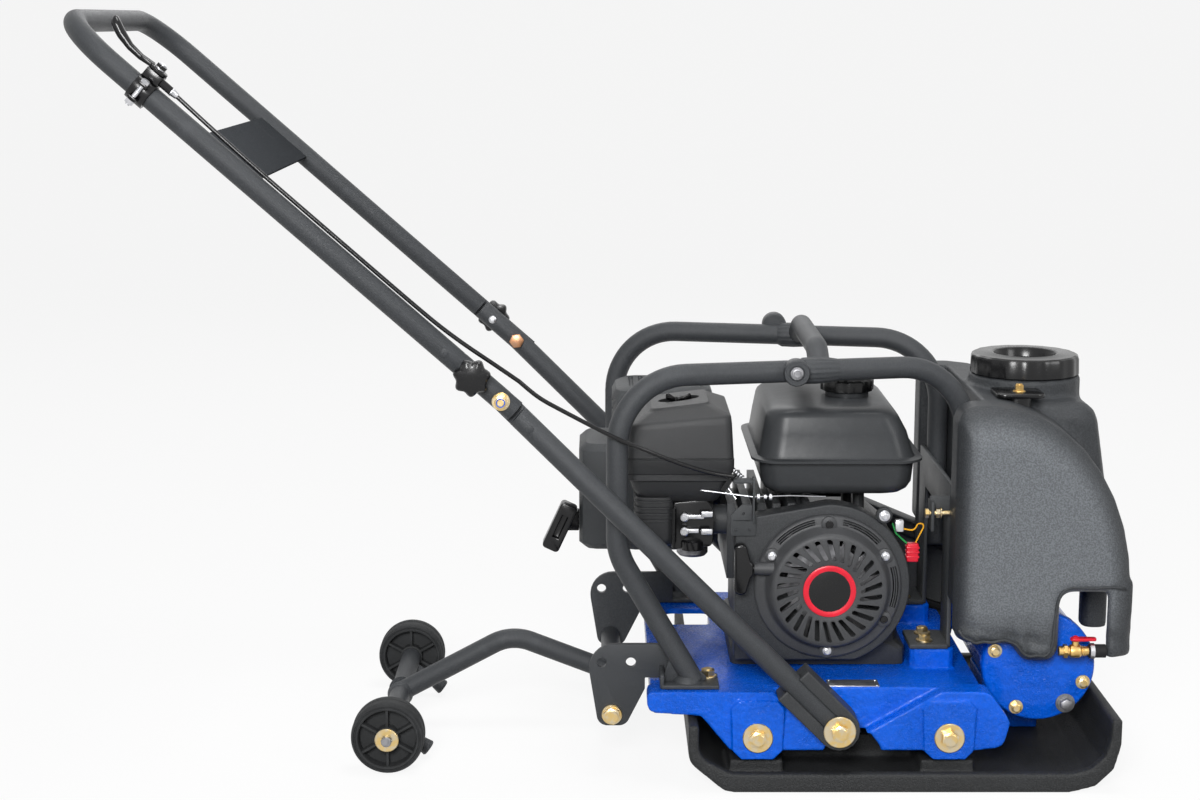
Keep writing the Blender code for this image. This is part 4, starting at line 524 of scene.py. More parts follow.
def rounded(corners, steps):
    """An outline through corners (u, v, radius), each turned as an arc."""
    points = []
    for index, (u, v, radius) in enumerate(corners):
        here = Vector((u, v))
        if radius <= 0:
            points.append((u, v))
            continue
        back = Vector(corners[index - 1][:2]) - here
        ahead = Vector(corners[(index + 1) % len(corners)][:2]) - here
        half = back.angle(ahead) / 2
        reach = min(radius / math.tan(half), back.length * 0.49, ahead.length * 0.49)
        centre = here + (back.normalized() + ahead.normalized()).normalized() * (reach / math.cos(half))
        spoke = here + back.normalized() * reach - centre
        last = here + ahead.normalized() * reach - centre
        turn = math.atan2(spoke.cross(last), spoke.dot(last))
        for step in range(steps + 1):
            points.append(tuple(centre + Matrix.Rotation(turn * step / steps, 2) @ spoke))
    return points


def box_outline(x_low, x_high, y_low, y_high, radius):
    """A rectangle with round corners."""
    return rounded([(x_low, y_low, radius), (x_high, y_low, radius), (x_high, y_high, radius),
                    (x_low, y_high, radius)], 7)


def loft(sections):
    """A body through (height, outline): a face is drawn up and its points moved to each outline."""
    height, outline = sections[0]
    thing = filled(outline, height)
    for height, following in sections[1:]:
        draw_out((0, 0, 0.001))
        work = bmesh.from_edit_mesh(thing.data)
        for point in work.verts:
            if point.select:
                gaps = [(point.co.x - u) ** 2 + (point.co.y - v) ** 2 for u, v in outline]
                u, v = following[gaps.index(min(gaps))]
                point.co = (u, v, height)
        bmesh.update_edit_mesh(thing.data)
        outline = following
    bpy.ops.object.mode_set(mode="OBJECT")
    return tidy_mesh(thing, False)


def scallop(thing, lobes, depth, inner):
    """Waves round a turned piece, outside a radius."""
    for point in thing.data.vertices:
        if math.hypot(point.co.x, point.co.y) > inner:
            share = 1 + depth * math.cos(lobes * math.atan2(point.co.y, point.co.x))
            point.co.x *= share
            point.co.y *= share
    return thing


def block(low, high, bevel, segments=3, place=None):
    """A box between two corners with rounded edges."""
    low, high = Vector(low), Vector(high)
    start()
    bpy.ops.mesh.primitive_cube_add(size=1, location=(low + high) / 2, scale=high - low)
    thing = bpy.context.object
    settle(thing)
    edit()
    bpy.ops.mesh.bevel(offset=bevel, segments=segments, affect="EDGES")
    bpy.ops.object.mode_set(mode="OBJECT")
    return settle(thing, place) if place is not None else thing


def carve(thing, tool):
    """Cuts another mesh out of a thing, and removes that mesh."""
    apply(thing, "BOOLEAN", operation="DIFFERENCE", solver="EXACT", object=tool)
    bpy.data.objects.remove(tool, do_unlink=True)
    return thing


def bore(thing, place, radius, depth=0.1, sides=32):
    """A round hole across the machine."""
    start()
    bpy.ops.mesh.primitive_cylinder_add(vertices=sides, radius=radius, depth=depth, location=place,
                                        rotation=(math.pi / 2, 0, 0))
    return carve(thing, settle(bpy.context.object))


def copied(thing, place):
    """A copy with a mesh of its own, moved by a frame."""
    choose(thing)
    bpy.ops.object.duplicate(linked=False)
    return settle(bpy.context.object, place)


def joined(things):
    """Several meshes as one piece."""
    choose(*things)
    if len(things) > 1:
        bpy.ops.object.join()
    return bpy.context.object


def piece(thing, name, finish, body=CHASSIS, angle=35, stands_for=()):
    """Names, paints and hangs a finished mesh on its body."""
    shade(thing, angle)
    thing.name = name
    thing.data.name = name
    thing.data.materials.clear()
    thing.data.materials.append(finishes()[finish])
    if stands_for:
        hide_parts(*stands_for)
    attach(thing, body)
    return thing


def solid_copy(node):
    """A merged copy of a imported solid, as a mesh to work on."""
    original = NODES[node]
    hidden = original.hide_viewport
    original.hide_viewport = False
    choose(original)
    bpy.ops.object.duplicate(linked=False)
    thing = bpy.context.object
    original.hide_viewport = hidden
    thing.parent = None
    for key in list(thing.keys()):
        del thing[key]
    tidy_mesh(thing, False)
    edit()
    bpy.ops.mesh.dissolve_limited(angle_limit=math.radians(0.5))
    bpy.ops.object.mode_set(mode="OBJECT")
    return thing


def cast_skin(thing, voxel, passes, kept):
    """Rounds a solid all over, as a casting or moulding is, and thins out its faces to the share kept."""
    apply(thing, "REMESH", mode="VOXEL", voxel_size=voxel, use_smooth_shade=True)
    apply(thing, "SMOOTH", factor=0.5, iterations=passes)
    return apply(thing, "DECIMATE", ratio=kept)


def dressed(node, finish, body=CHASSIS, bevel=0.0, voxel=0.0, passes=4, kept=0.5):
    """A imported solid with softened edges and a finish."""
    thing = solid_copy(node)
    if voxel:
        cast_skin(thing, voxel, passes, kept)
    elif bevel:
        soft_edges(thing, bevel)
    return piece(thing, node + "_skin", finish, body, 180 if voxel else 35, (node,))


def hexagon(width, height, chamfer=0.0008):
    """A bolt head or nut, standing on the origin."""
    radius = width / math.sqrt(3)
    profile = [(radius, 0), (radius, height - chamfer), (radius - chamfer * 2, height)]
    return lathe(profile, None, 6)


def raised(thing, height):
    return settle(thing, at(0, 0, height))


def washer(diameter, thickness):
    radius = diameter / 2
    return lathe([(radius, 0), (radius, thickness * 0.7), (radius - thickness * 0.3, thickness)], None, 40)


def bolt_head(across, height, washer_diameter, washer_thickness):
    """A washer with a hexagon head and the round mark on its top, standing on the origin."""
    head = raised(hexagon(across, height), washer_thickness - 0.0002)
    under = washer(washer_diameter, washer_thickness)
    top = washer_thickness + height - 0.0004
    rim = across * 0.42
    mark = lathe([(rim, top), (rim, top + 0.0005), (rim - 0.0006, top + 0.0009)], None, 24)
    return joined([under, head, mark])


def scattered(pattern, places):
    """One fastener copied to every place, as one piece."""
    things = [copied(pattern, place) for place in places]
    bpy.data.objects.remove(pattern, do_unlink=True)
    return joined(things)


def bolted(head, places, name):
    """Yellow bolt heads at every place."""
    piece(scattered(head, places), name, "yellow", CHASSIS, 30)


# Properties


def colour_property(name, description, default):
    return FloatVectorProperty(name=name, description=description, subtype="COLOR", default=default,
                               min=0.0, max=1.0)


class CompactorColours(bpy.types.PropertyGroup):
    """Colours of the finishes, as linear values."""

    tube: colour_property("Tube paint", "Textured paint of the tubes", (0.041, 0.044, 0.048))
    sheet: colour_property("Sheet steel paint", "Paint of plates and brackets", (0.046, 0.049, 0.052))
    casting: colour_property("Casting paint", "Gloss paint of the console and exciter",
                             (0.0006, 0.092, 0.590))
    plate: colour_property("Base plate paint", "Paint of the base plate", (0.020, 0.021, 0.022))
    engine: colour_property("Engine paint", "Paint of the engine's metal", (0.034, 0.036, 0.0385))
    plastic: colour_property("Engine plastic", "Plastic of the recoil cover and cleaner",
                             (0.034, 0.035, 0.037))
    water: colour_property("Water tank", "Plastic of the water tank", (0.034, 0.0365, 0.0395))
    gloss: colour_property("Gloss plastic", "Caps and knobs", (0.004, 0.004, 0.0045))
    rubber: colour_property("Rubber", "Mounts, hose and belt", (0.014, 0.014, 0.015))
    wheel: colour_property("Wheels", "Plastic of the wheels", (0.024, 0.025, 0.026))
    red: colour_property("Red plastic", "Valve lever, plug and badge ring", (0.60, 0.012, 0.030))


class CompactorShapes(bpy.types.PropertyGroup):
    """Sizes of what the dressing adds."""

    tube_sides: IntProperty(name="Tube sides", description="Faces round a tube", default=32, min=8, max=96)
    bolt: FloatProperty(name="Bolt head", description="Width of the large hexagon heads", default=0.018,
                        unit="LENGTH", min=0.006, max=0.040)
    lug_washer: FloatProperty(name="Lug washer", description="Diameter of the washers on the console lugs",
                              default=0.035, unit="LENGTH", min=0.020, max=0.060)
    slots: IntProperty(name="Recoil slots", description="Slots in the recoil cover", default=26,
                       min=6, max=60)
    cap_ribs: IntProperty(name="Cap ribs", description="Grip ribs round the water cap", default=18,
                          min=4, max=60)


class CompactorStudio(bpy.types.PropertyGroup):
    """Camera and light."""

    lens: FloatProperty(name="Lens", description="Focal length on a 36 mm frame",
                        default=62.4, min=20.0, max=200.0)
    place: FloatVectorProperty(name="Camera place", description="Where the camera stands",
                               subtype="TRANSLATION", unit="LENGTH", default=(-0.348, -2.496, 0.8703))
    tilt: FloatProperty(name="Tilt", description="How far the camera looks down", subtype="ANGLE",
                        unit="ROTATION", default=math.radians(10.353))
    daylight: FloatProperty(name="Room light", description="Strength of the even light from all round",
                            default=0.09, min=0.0, max=4.0)
    floor: colour_property("Floor", "Colour of the floor", (0.80, 0.80, 0.80))


# Pieces


class COMPACTOR_OT_studio(bpy.types.Operator):
    """Floor with a swept backdrop, soft lamps and the camera"""

    bl_idname = "compactor.studio"
    bl_label = "Studio"

    # Name, place, width and power
    lights = (("key", (-0.7, -3.0, 1.6), 1.0, 118.0), ("top", (0.1, -0.2, 2.8), 1.0, 34.0),
              ("fill", (2.3, -1.9, 1.6), 1.0, 22.0), ("back", (-0.6, 2.6, 2.2), 1.8, 14.0))
    room_size, wall_height, sweep = 24, 8, 3.0
    wall_y = 8

    def execute(self, context):
        studio = context.scene.compactor_studio
        self.camera(context, studio)
        self.floor(studio)
        self.lamps()
        self.room(context, studio)
        context.scene.view_settings.view_transform = "Standard"
        return {"FINISHED"}

    def camera(self, context, studio):
        start()
        bpy.ops.object.camera_add(location=studio.place, rotation=(math.pi / 2 - studio.tilt, 0, 0))
        camera = context.object
        camera.name = "photo_camera"
        camera.data.lens = studio.lens
        camera.data.sensor_width = 36.0
        context.scene.camera = camera

    def floor(self, studio):
        start()
        bpy.ops.mesh.primitive_plane_add(size=self.room_size,
                                         location=(0, self.wall_y - self.room_size / 2, -0.0004))
        ground = bpy.context.object
        ground.name = "studio_floor"
        settle(ground)
        bpy.ops.object.mode_set(mode="EDIT")
        work = bmesh.from_edit_mesh(ground.data)
        for face in work.faces:
            face.select = False
        for edge in work.edges:
            edge.select = all(point.co.y > self.wall_y - 0.1 for point in edge.verts)
        work.select_flush_mode()
        bmesh.update_edit_mesh(ground.data)
        draw_out((0, 0, self.wall_height))
        bpy.ops.object.mode_set(mode="OBJECT")
        soft_edges(ground, self.sweep, 12)
        shade(ground, 60)
        finish = Finish("pale_floor")
        shown = finish.shown()
        cloud = finish.mix(tone(studio.floor, 0.99), tone(studio.floor, 1.01), finish.noise(1.5, 2.0))
        finish.set(Base_Color=finish.mix(tone(studio.floor, 0.25), cloud, shown), Roughness=0.9)
        lit = finish.node("ShaderNodeEmission", None, {"Color": (1, 1, 1, 1), "Strength": 1.0})
        mixed = finish.node("ShaderNodeMixShader", None,
                            {0: shown * 0.89, 1: Value(finish, finish.shader.outputs[0]), 2: lit})
        finish.feed(finish.tree.nodes["Material Output"].inputs["Surface"], mixed)
        ground.data.materials.append(finish.material)

    def lamps(self):
        middle = Vector((-0.15, 0, 0.35))
        for name, place, size, power in self.lights:
            start()
            bpy.ops.object.light_add(type="AREA", location=place)
            lamp = bpy.context.object
            lamp.name = "lamp_" + name
            lamp.data.size = size
            lamp.data.energy = power
            aim = middle - Vector(place)
            lamp.rotation_euler = aim.to_track_quat("-Z", "Y").to_euler()

    def room(self, context, studio):
        world = bpy.data.worlds.new("studio_room")
        context.scene.world = world
        room = Tree(world)
        light = room.tree.nodes["Background"]
        room.feed(light.inputs["Color"], (1, 1, 1, 1))
        room.feed(light.inputs["Strength"], studio.daylight)
        white = room.node("ShaderNodeBackground", None, {"Color": (1, 1, 1, 1), "Strength": 1.0})
        mixed = room.node("ShaderNodeMixShader", None,
                          {0: room.shown(), 1: Value(room, light.outputs[0]), 2: white})
        room.feed(room.tree.nodes["World Output"].inputs["Surface"], mixed)


class COMPACTOR_OT_tubes(bpy.types.Operator):
    """Handle loop and legs, cage loops, lifting bar and wheel arm"""

    bl_idname = "compactor.tubes"
    bl_label = "Tubes"

    def execute(self, context):
        self.sides = context.scene.compactor_shapes.tube_sides
        self.handle()
        for side, way in SIDES:
            self.leg(side, way)
            self.cage(side, way)
        self.lifting_bar()
        self.wheel_arm()
        return {"FINISHED"}

    def lap(self, way, low, high, outside):
        """The half of a tube that is away where the two handle parts lie side by side."""
        half_gap = 0.00015
        middle = HANDLE_Y - half_gap if outside else HANDLE_Y + half_gap
        far = middle + TUBE if outside else middle - TUBE
        ends = span(-way, middle, far)
        start()
        size = Vector((high - low, ends[1] - ends[0], 2 * TUBE))
        bpy.ops.mesh.primitive_cube_add(size=1, location=((low + high) / 2, sum(ends) / 2, 0), scale=size)
        tool = settle(bpy.context.object)
        return settle(tool, grip_frame(0, 0, 0))

    def handle(self):
        top, low = GRIP_LENGTH, -0.020
        loop = tube([(on_grip(low, -HANDLE_Y, 0), 0), (on_grip(top, -HANDLE_Y, 0), GRIP_BEND),
                     (on_grip(top, HANDLE_Y, 0), GRIP_BEND), (on_grip(low, HANDLE_Y, 0), 0)], TUBE,
                    self.sides, 18)
        for way in WAYS:
            carve(loop, self.lap(way, low - TUBE, 0.0648, False))
        soft_edges(loop, 0.0008)
        marks = []
        for way in WAYS:
            across = way * (HANDLE_Y + TUBE / 2 - 0.0010)
            marks.append(self.dimple(grip_frame(0.082, across, 0) @ facing(-way)))
        bar = block((-0.038, -HANDLE_Y + TUBE * 0.25, -0.002), (0.038, HANDLE_Y - TUBE * 0.25, 0.002),
                    0.0006, 2, grip_frame(0.400, 0, 0))
        piece(joined([loop] + marks), "handle_loop_tube", "tube", "handle_upper", 40,
              ("handle_loop",))
        piece(bar, "handle_panel", "panel", "handle_upper", 40)

    def dimple(self, place):
        """The round mark of a press on a tube."""
        return lathe([(0.0050, 0), (0.0050, 0.0012), (0.0040, 0.0018)], place, 20)

    def leg(self, side, way):
        across = Vector((0, way * HANDLE_Y, 0))
        leg = tube([(PIVOT - LEG_DIR * 0.012 + across, 0), (FOLD - LEG_DIR * 0.0001 + across, 0.060),
                    (FOLD + GRIP_DIR * 0.062 + across, 0)], TUBE, self.sides, 6)
        carve(leg, self.lap(way, -0.0252, 0.062 + TUBE, True))
        soft_edges(leg, 0.0008)
        low = FOLD - LEG_DIR * 0.044 + across + Vector((0, way * (TUBE / 2 - 0.0010), 0))
        mark = self.dimple(at(*low) @ facing(way))
        piece(joined([leg, mark]), "leg_tube_" + side, "tube", "handle_lower", 40,
              ("leg_" + side,))

    def cage(self, side, way):
        """One loop with its foot plate, weld, hitch plate and the collar under the lifting bar's nut."""
        rear, front = way * CAGE_REAR.y, way * CAGE_FRONT.y
        foot_x = -0.244
        foot = Vector((foot_x, rear, FOOT_TOP))
        loop = tube([(foot - Vector((-0.004, 0, 0.0008)), 0), ((CAGE_REAR.x, rear, CAGE_REAR.z), CAGE_BEND),
                     ((CAGE_REAR.x, rear, CAGE_TOP), CAGE_BEND), ((CAGE_FRONT.x, front, CAGE_TOP), CAGE_BEND),
                     ((CAGE_FRONT.x, front, CAGE_FRONT.z), 0)], TUBE, self.sides, 16)
        start()
        bpy.ops.mesh.primitive_cube_add(size=0.1, location=(foot_x, rear, FOOT_TOP - 0.0508))
        carve(loop, settle(bpy.context.object))
        low, high = span(way, 0.1578, 0.205)
        sole = block((-0.277, low, BED_Z + 0.0003), (-0.211, high, FOOT_TOP), 0.0012, 3)
        weld = lathe([(0.0175, FOOT_TOP), (0.0160, FOOT_TOP + 0.003), (0.0128, FOOT_TOP + 0.0065)],
                     at(-0.247, rear, 0), 32)
        self.side_plate(side, way)
        seat = at(COLLAR_X, way * cage_side(COLLAR_X), CAGE_TOP + COLLAR_LIFT[way]) @ facing(way)
        collar = lathe([(0.0135, 0.003), (0.0152, 0.006), (0.0152, 0.0222), (0.0140, 0.0247),
                        (0.0090, 0.0247), (0.0086, 0.0225)], seat, 40)
        piece(joined([loop, sole, weld, collar]), "cage_tube_" + side, "tube", CHASSIS, 40,
              ("cage_" + side,))

    def side_plate(self, side, way):
        """The hitch plate with its three holes."""
        corners = [(-0.366, 0.155, 0.030), (-0.252, 0.155, 0.014), (-0.252, BED_Z + 0.0015, 0),
                   (-0.2955, BED_Z + 0.0015, 0), (-0.2955, BED_Z - 0.012, 0.006), (-0.318, 0.056, 0.0125),
                   (-0.350, 0.056, 0.0125)]
        outline = rounded(corners, 8)
        low, high = span(way, 0.157, 0.164)
        middle = (low + high) / 2
        thing = plate([(u, -v) for u, v in outline], high - low, at(0, middle, 0) @ FACE_LEFT, 0.0007)
        for x, z, size in ((-0.334, 0.070, 0.0130), (-0.346, 0.133, 0.012), (-0.312, 0.133, 0.012)):
            bore(thing, (x, middle, z), size / 2, 0.05)
        piece(thing, "hitch_plate_" + side, "tube", CHASSIS, 30)

    def lifting_bar(self):
        x, rise = -0.095, CAGE_TOP + 0.020
        end = cage_side(x)
        bar = tube([((x, -end, CAGE_TOP), 0), ((x, -end + 0.040, rise), 0.040),
                    ((x, end - 0.040, rise), 0.040), ((x, end, CAGE_TOP), 0)], TUBE, self.sides, 10)
        crimps = []
        for way in WAYS:
            ends = [Vector((place, way * cage_side(place), CAGE_TOP)) for place in (x - 0.05, x + 0.05)]
            carve(bar, rod(*ends, TUBE + 0.0006, 48))
            crimp = lathe([(0.0130, 0.026), (0.0152, 0.031), (0.0154, 0.046), (0.0146, 0.060),
                           (0.0128, 0.072)], None, 96)
            crimps.append(settle(scallop(crimp, 16, 0.022, 0.0135), toward(*ends)))
        piece(joined([bar] + crimps), "lifting_bar_tube", "tube", CHASSIS, 40,
              ("lifting_bar",))

    def wheel_arm(self):
        """Hinge tube, gooseneck, axle tube and the two flared pegs."""
        hinge = lathe([(0.0105, -0.1555), (0.0125, -0.1535), (0.0125, 0.1535), (0.0105, 0.1555)],
                      at(*HITCH) @ FACE_LEFT, 36)
        bore(hinge, HITCH, 0.0066, 0.36)
        peak = (-0.458, 0, 0.118)
        neck = tube([(AXLE, 0), (peak, 0.055), (HITCH, 0)], 0.0245, self.sides, 14)
        axle = lathe([(0.0105, -0.1415), (0.0125, -0.1395), (0.0125, 0.1395), (0.0105, 0.1415)],
                     at(*AXLE) @ FACE_LEFT, 36)
        pin = lathe([(0.0050, -0.187), (0.0060, -0.186), (0.0060, 0.186), (0.0050, 0.187)],
                    at(*AXLE) @ FACE_LEFT, 28)
        parts = [hinge, neck, axle, pin]
        for way in WAYS:
            root = AXLE + Vector((0, way * 0.1155, 0))
            tip = root + Vector((0.044, 0, -0.033))
            length = (tip - root).length
            parts.append(lathe([(0.0062, 0.008), (0.0066, length * 0.72), (0.0082, length * 0.80),
                                (0.0098, length - 0.0015), (0.0086, length)], toward(root, tip), 28))
            parts.append(lathe([(0.0160, -0.002), (0.0142, 0.002), (0.0128, 0.005)],
                               at(AXLE.x, way * 0.012, AXLE.z) @ facing(way), 32))
        piece(joined(parts), "wheel_arm_tube", "tube", "wheel_arm", 40, ("wheel_arm",))


class COMPACTOR_OT_castings(bpy.types.Operator):
    """Base plate, console and exciter with their bolts and rubber mounts"""

    bl_idname = "compactor.castings"
    bl_label = "Castings"

    window = ((-0.262, 0.062, 0.050), (-0.208, 0.130, 0.130))
    undercut = ((-0.276, 0.054, 0.050), (-0.203, 0.230, 0.1050))
    pivot_gap = ((-0.058, -0.030), (-0.021, -0.030), (-0.026, -0.049), (-0.037, -0.0635), (-0.058, -0.0635))
    cover_rim, bolt_circle = 0.066, 0.0555

    def execute(self, context):
        shapes = context.scene.compactor_shapes
        dressed("base_plate", "plate", voxel=0.0026, passes=7, kept=0.40)
        self.console()
        dressed("exciter_housing", "blue", voxel=0.0022, passes=3, kept=0.5)
        for side, _ in SIDES:
            for end in ("rear", "front"):
                dressed(f"rubber_mount_{side}_{end}", "rubber", bevel=0.0012)
        self.lug_bolts(shapes)
        self.data_plate()
        self.exciter_covers()
        return {"FINISHED"}

    def console(self):
        """The deck with its window, cut away below the far wall, and the gaps beside the handle's pivots."""
        deck = solid_copy("console")
        carve(deck, block(*self.window, 0.006, 3))
        carve(deck, block(*self.undercut, 0.004, 3))
        for way in WAYS:
            carve(deck, plate(self.pivot_gap, 0.080, at(0, way * 0.205, 0) @ FACE_LEFT))
        piece(cast_skin(deck, 0.0017, 1, 0.26), "console_skin", "blue", CHASSIS, 180, ("console",))

    def lug_bolts(self, shapes):
        """Washers and hexagon heads on the four console lugs."""
        places = [at(x, way * (SIDE_Y + LUG_PROUD), LUG_Z) @ facing(way) @ spun(20 * x / LUG_REAR_X)
                  for x in (LUG_REAR_X, LUG_FRONT_X) for way in WAYS]
        bolted(bolt_head(shapes.bolt, 0.007, shapes.lug_washer, 0.003), places, "lug_bolts")

    def data_plate(self):
        """Bare plate with four rivets on the deck's right edge."""
        x, y, z = -0.055, -0.181, BED_Z + 0.0002
        long, wide = 0.060, 0.024
        sheet = block((x - long / 2, y - wide / 2, z - 0.0005),
                      (x + long / 2, y + wide / 2, z + 0.0008), 0.0003, 2)
        piece(sheet, "data_plate", "steel", CHASSIS, 30)
        rivets = [at(x + across * long * 0.45, y + along * wide * 0.40, z + 0.0006)
                  for across in (-1, 1) for along in (-1, 1)]
        pin = lathe([(0.0016, 0), (0.0015, 0.0006), (0.0008, 0.0010)], None, 16)
        piece(scattered(pin, rivets), "data_plate_rivets", "steel", CHASSIS)

    def exciter_covers(self):
        """Domed end covers with their bolts, and the drain plug on the right."""
        rim = self.cover_rim
        right = [(rim - 0.001, 0), (rim, 0.0010), (rim, 0.0085), (rim - 0.0012, 0.0108),
                 (rim - 0.0035, 0.0120), (0.030, 0.0122), (0.010, 0.0122)]
        piece(lathe(right, at(EXCITER.x, -0.1383, EXCITER.z) @ FACE_RIGHT, 96), "exciter_end_right", "blue",
              CHASSIS, 40, ("exciter_cover_right",))
        left = [(rim - 0.001, 0), (rim, 0.0010), (rim, 0.0098), (rim - 0.0030, 0.0118), (0.026, 0.0120),
                (0.0240, 0.0112), (0.0175, 0.0112)]
        ring = lathe(left, at(EXCITER.x, 0.1303, EXCITER.z) @ FACE_LEFT, 96)
        bore(ring, (EXCITER.x, 0.137, EXCITER.z), 0.0165, sides=48)
        piece(ring, "exciter_end_left", "blue", CHASSIS, 40,
              ("exciter_cover_left",))
        near, far = -0.1500, 0.1420
        places = [self.round_shaft(turn, near) @ FACE_RIGHT @ spun(turn) for turn in (-20, 160, 243)]
        places += [self.round_shaft(turn, far) @ FACE_LEFT for turn in (45, 135, 225, 315)]
        bolted(bolt_head(0.0110, 0.0055, 0.0170, 0.0014), places, "exciter_bolts")
        plug = joined([washer(0.0230, 0.0020), raised(washer(0.0190, 0.0016), 0.0018),
                       raised(hexagon(0.0125, 0.0070), 0.0032)])
        drain = self.round_shaft(-54, near) @ FACE_RIGHT
        piece(settle(plug, drain), "exciter_drain_plug", "iron", CHASSIS, 30)

    def round_shaft(self, degrees, y):
        """A place on the covers' bolt circle."""
        turn = math.radians(degrees)
        return at(EXCITER.x + self.bolt_circle * math.cos(turn), y,
                  EXCITER.z + self.bolt_circle * math.sin(turn))


class COMPACTOR_OT_engine(bpy.types.Operator):
    """Engine block, shroud, shaft, fan, belt drive and the ignition lead"""

    bl_idname = "compactor.engine"
    bl_label = "Engine"

    def execute(self, context):
        dressed("engine_block", "engine", bevel=0.0012)
        dressed("flywheel_fan", "iron", "crank", bevel=0.0006)
        for node in ("crankshaft", "clutch_drum"):
            dressed(node, "iron", "crank", bevel=0.0005)
        for node in ("eccentric_shaft", "exciter_pulley"):
            dressed(node, "iron", "exciter_rotor", bevel=0.0005)
        for node in ("bearing_right", "bearing_left"):
            dressed(node, "steel", bevel=0.0005)
        dressed("drive_belt", "rubber", bevel=0.0008)
        dressed("belt_guard", "sheet", bevel=0.0012)
        self.shroud()
        self.ignition()
        return {"FINISHED"}

    def shroud(self):
        """Pressed shroud with a rolled edge and the round mouth for the fan."""
        radius, low, rear, middle = 0.097, BED_Z + 0.015, -0.190, -0.1233
        dip = math.asin((low - CRANK.z) / radius)
        outline = [(rear, low)]
        for step in range(41):
            turn = dip + (math.pi / 2 - dip) * step / 40
            outline.append((CRANK.x + radius * math.cos(turn), CRANK.z + radius * math.sin(turn)))
        outline += rounded([(rear + 0.024, CRANK.z + radius, 0.010), (rear, CRANK.z + radius - 0.020, 0.010),
                            (rear, low, 0)], 5)[:-1]
        skin = plate([(x, -z) for x, z in outline], 0.030, at(0, middle, 0) @ FACE_LEFT, 0.0035, 4)
        bore(skin, (CRANK.x, middle, CRANK.z), 0.079, sides=96)
        piece(skin, "fan_shroud_skin", "engine", CHASSIS, 40, ("fan_shroud",))
        ear_x, ear_z = -0.0176, 0.3040
        ear = lathe([(0.0095, 0), (0.0095, 0.0060), (0.0080, 0.0072)],
                    at(ear_x, -0.1375, ear_z) @ FACE_RIGHT, 32)
        piece(ear, "shroud_ear", "engine", CHASSIS)
        head = settle(bolt_head(0.0085, 0.0045, 0.0130, 0.0012), at(ear_x, -0.1445, ear_z) @ FACE_RIGHT)
        piece(head, "shroud_bolt", "steel", CHASSIS, 30)

    def ignition(self):
        """Red plug with its two leads beside the shroud."""
        plug = block((0.0120, -0.128, 0.2440), (0.0260, -0.116, 0.2660), 0.0018, 3)
        ribs = [block((0.0112, -0.1288, 0.2490 + step), (0.0268, -0.1152, 0.2516 + step), 0.0008, 2)
                for step in (0, 0.0055, 0.0110)]
        piece(joined([plug] + ribs), "ignition_plug", "red", CHASSIS)
        clip = block((-0.0020, -0.126, 0.2800), (0.0080, -0.118, 0.2940), 0.0012, 2)
        piece(clip, "ignition_clip", "steel", CHASSIS)
        green = tube([((-0.0050, -0.122, 0.2900), 0), ((-0.0010, -0.123, 0.2780), 0.008),
                      ((0.0140, -0.122, 0.2640), 0)], 0.0022, 10, 5)
        piece(green, "ignition_lead_green", "green", CHASSIS)
        amber = tube([((0.0060, -0.121, 0.2830), 0), ((0.0220, -0.119, 0.2800), 0.006),
                      ((0.0260, -0.119, 0.2920), 0.0045), ((0.0330, -0.119, 0.2860), 0.0040),
                      ((0.0230, -0.120, 0.2655), 0)], 0.0018, 10, 5)
        piece(amber, "ignition_lead_amber", "amber", CHASSIS)


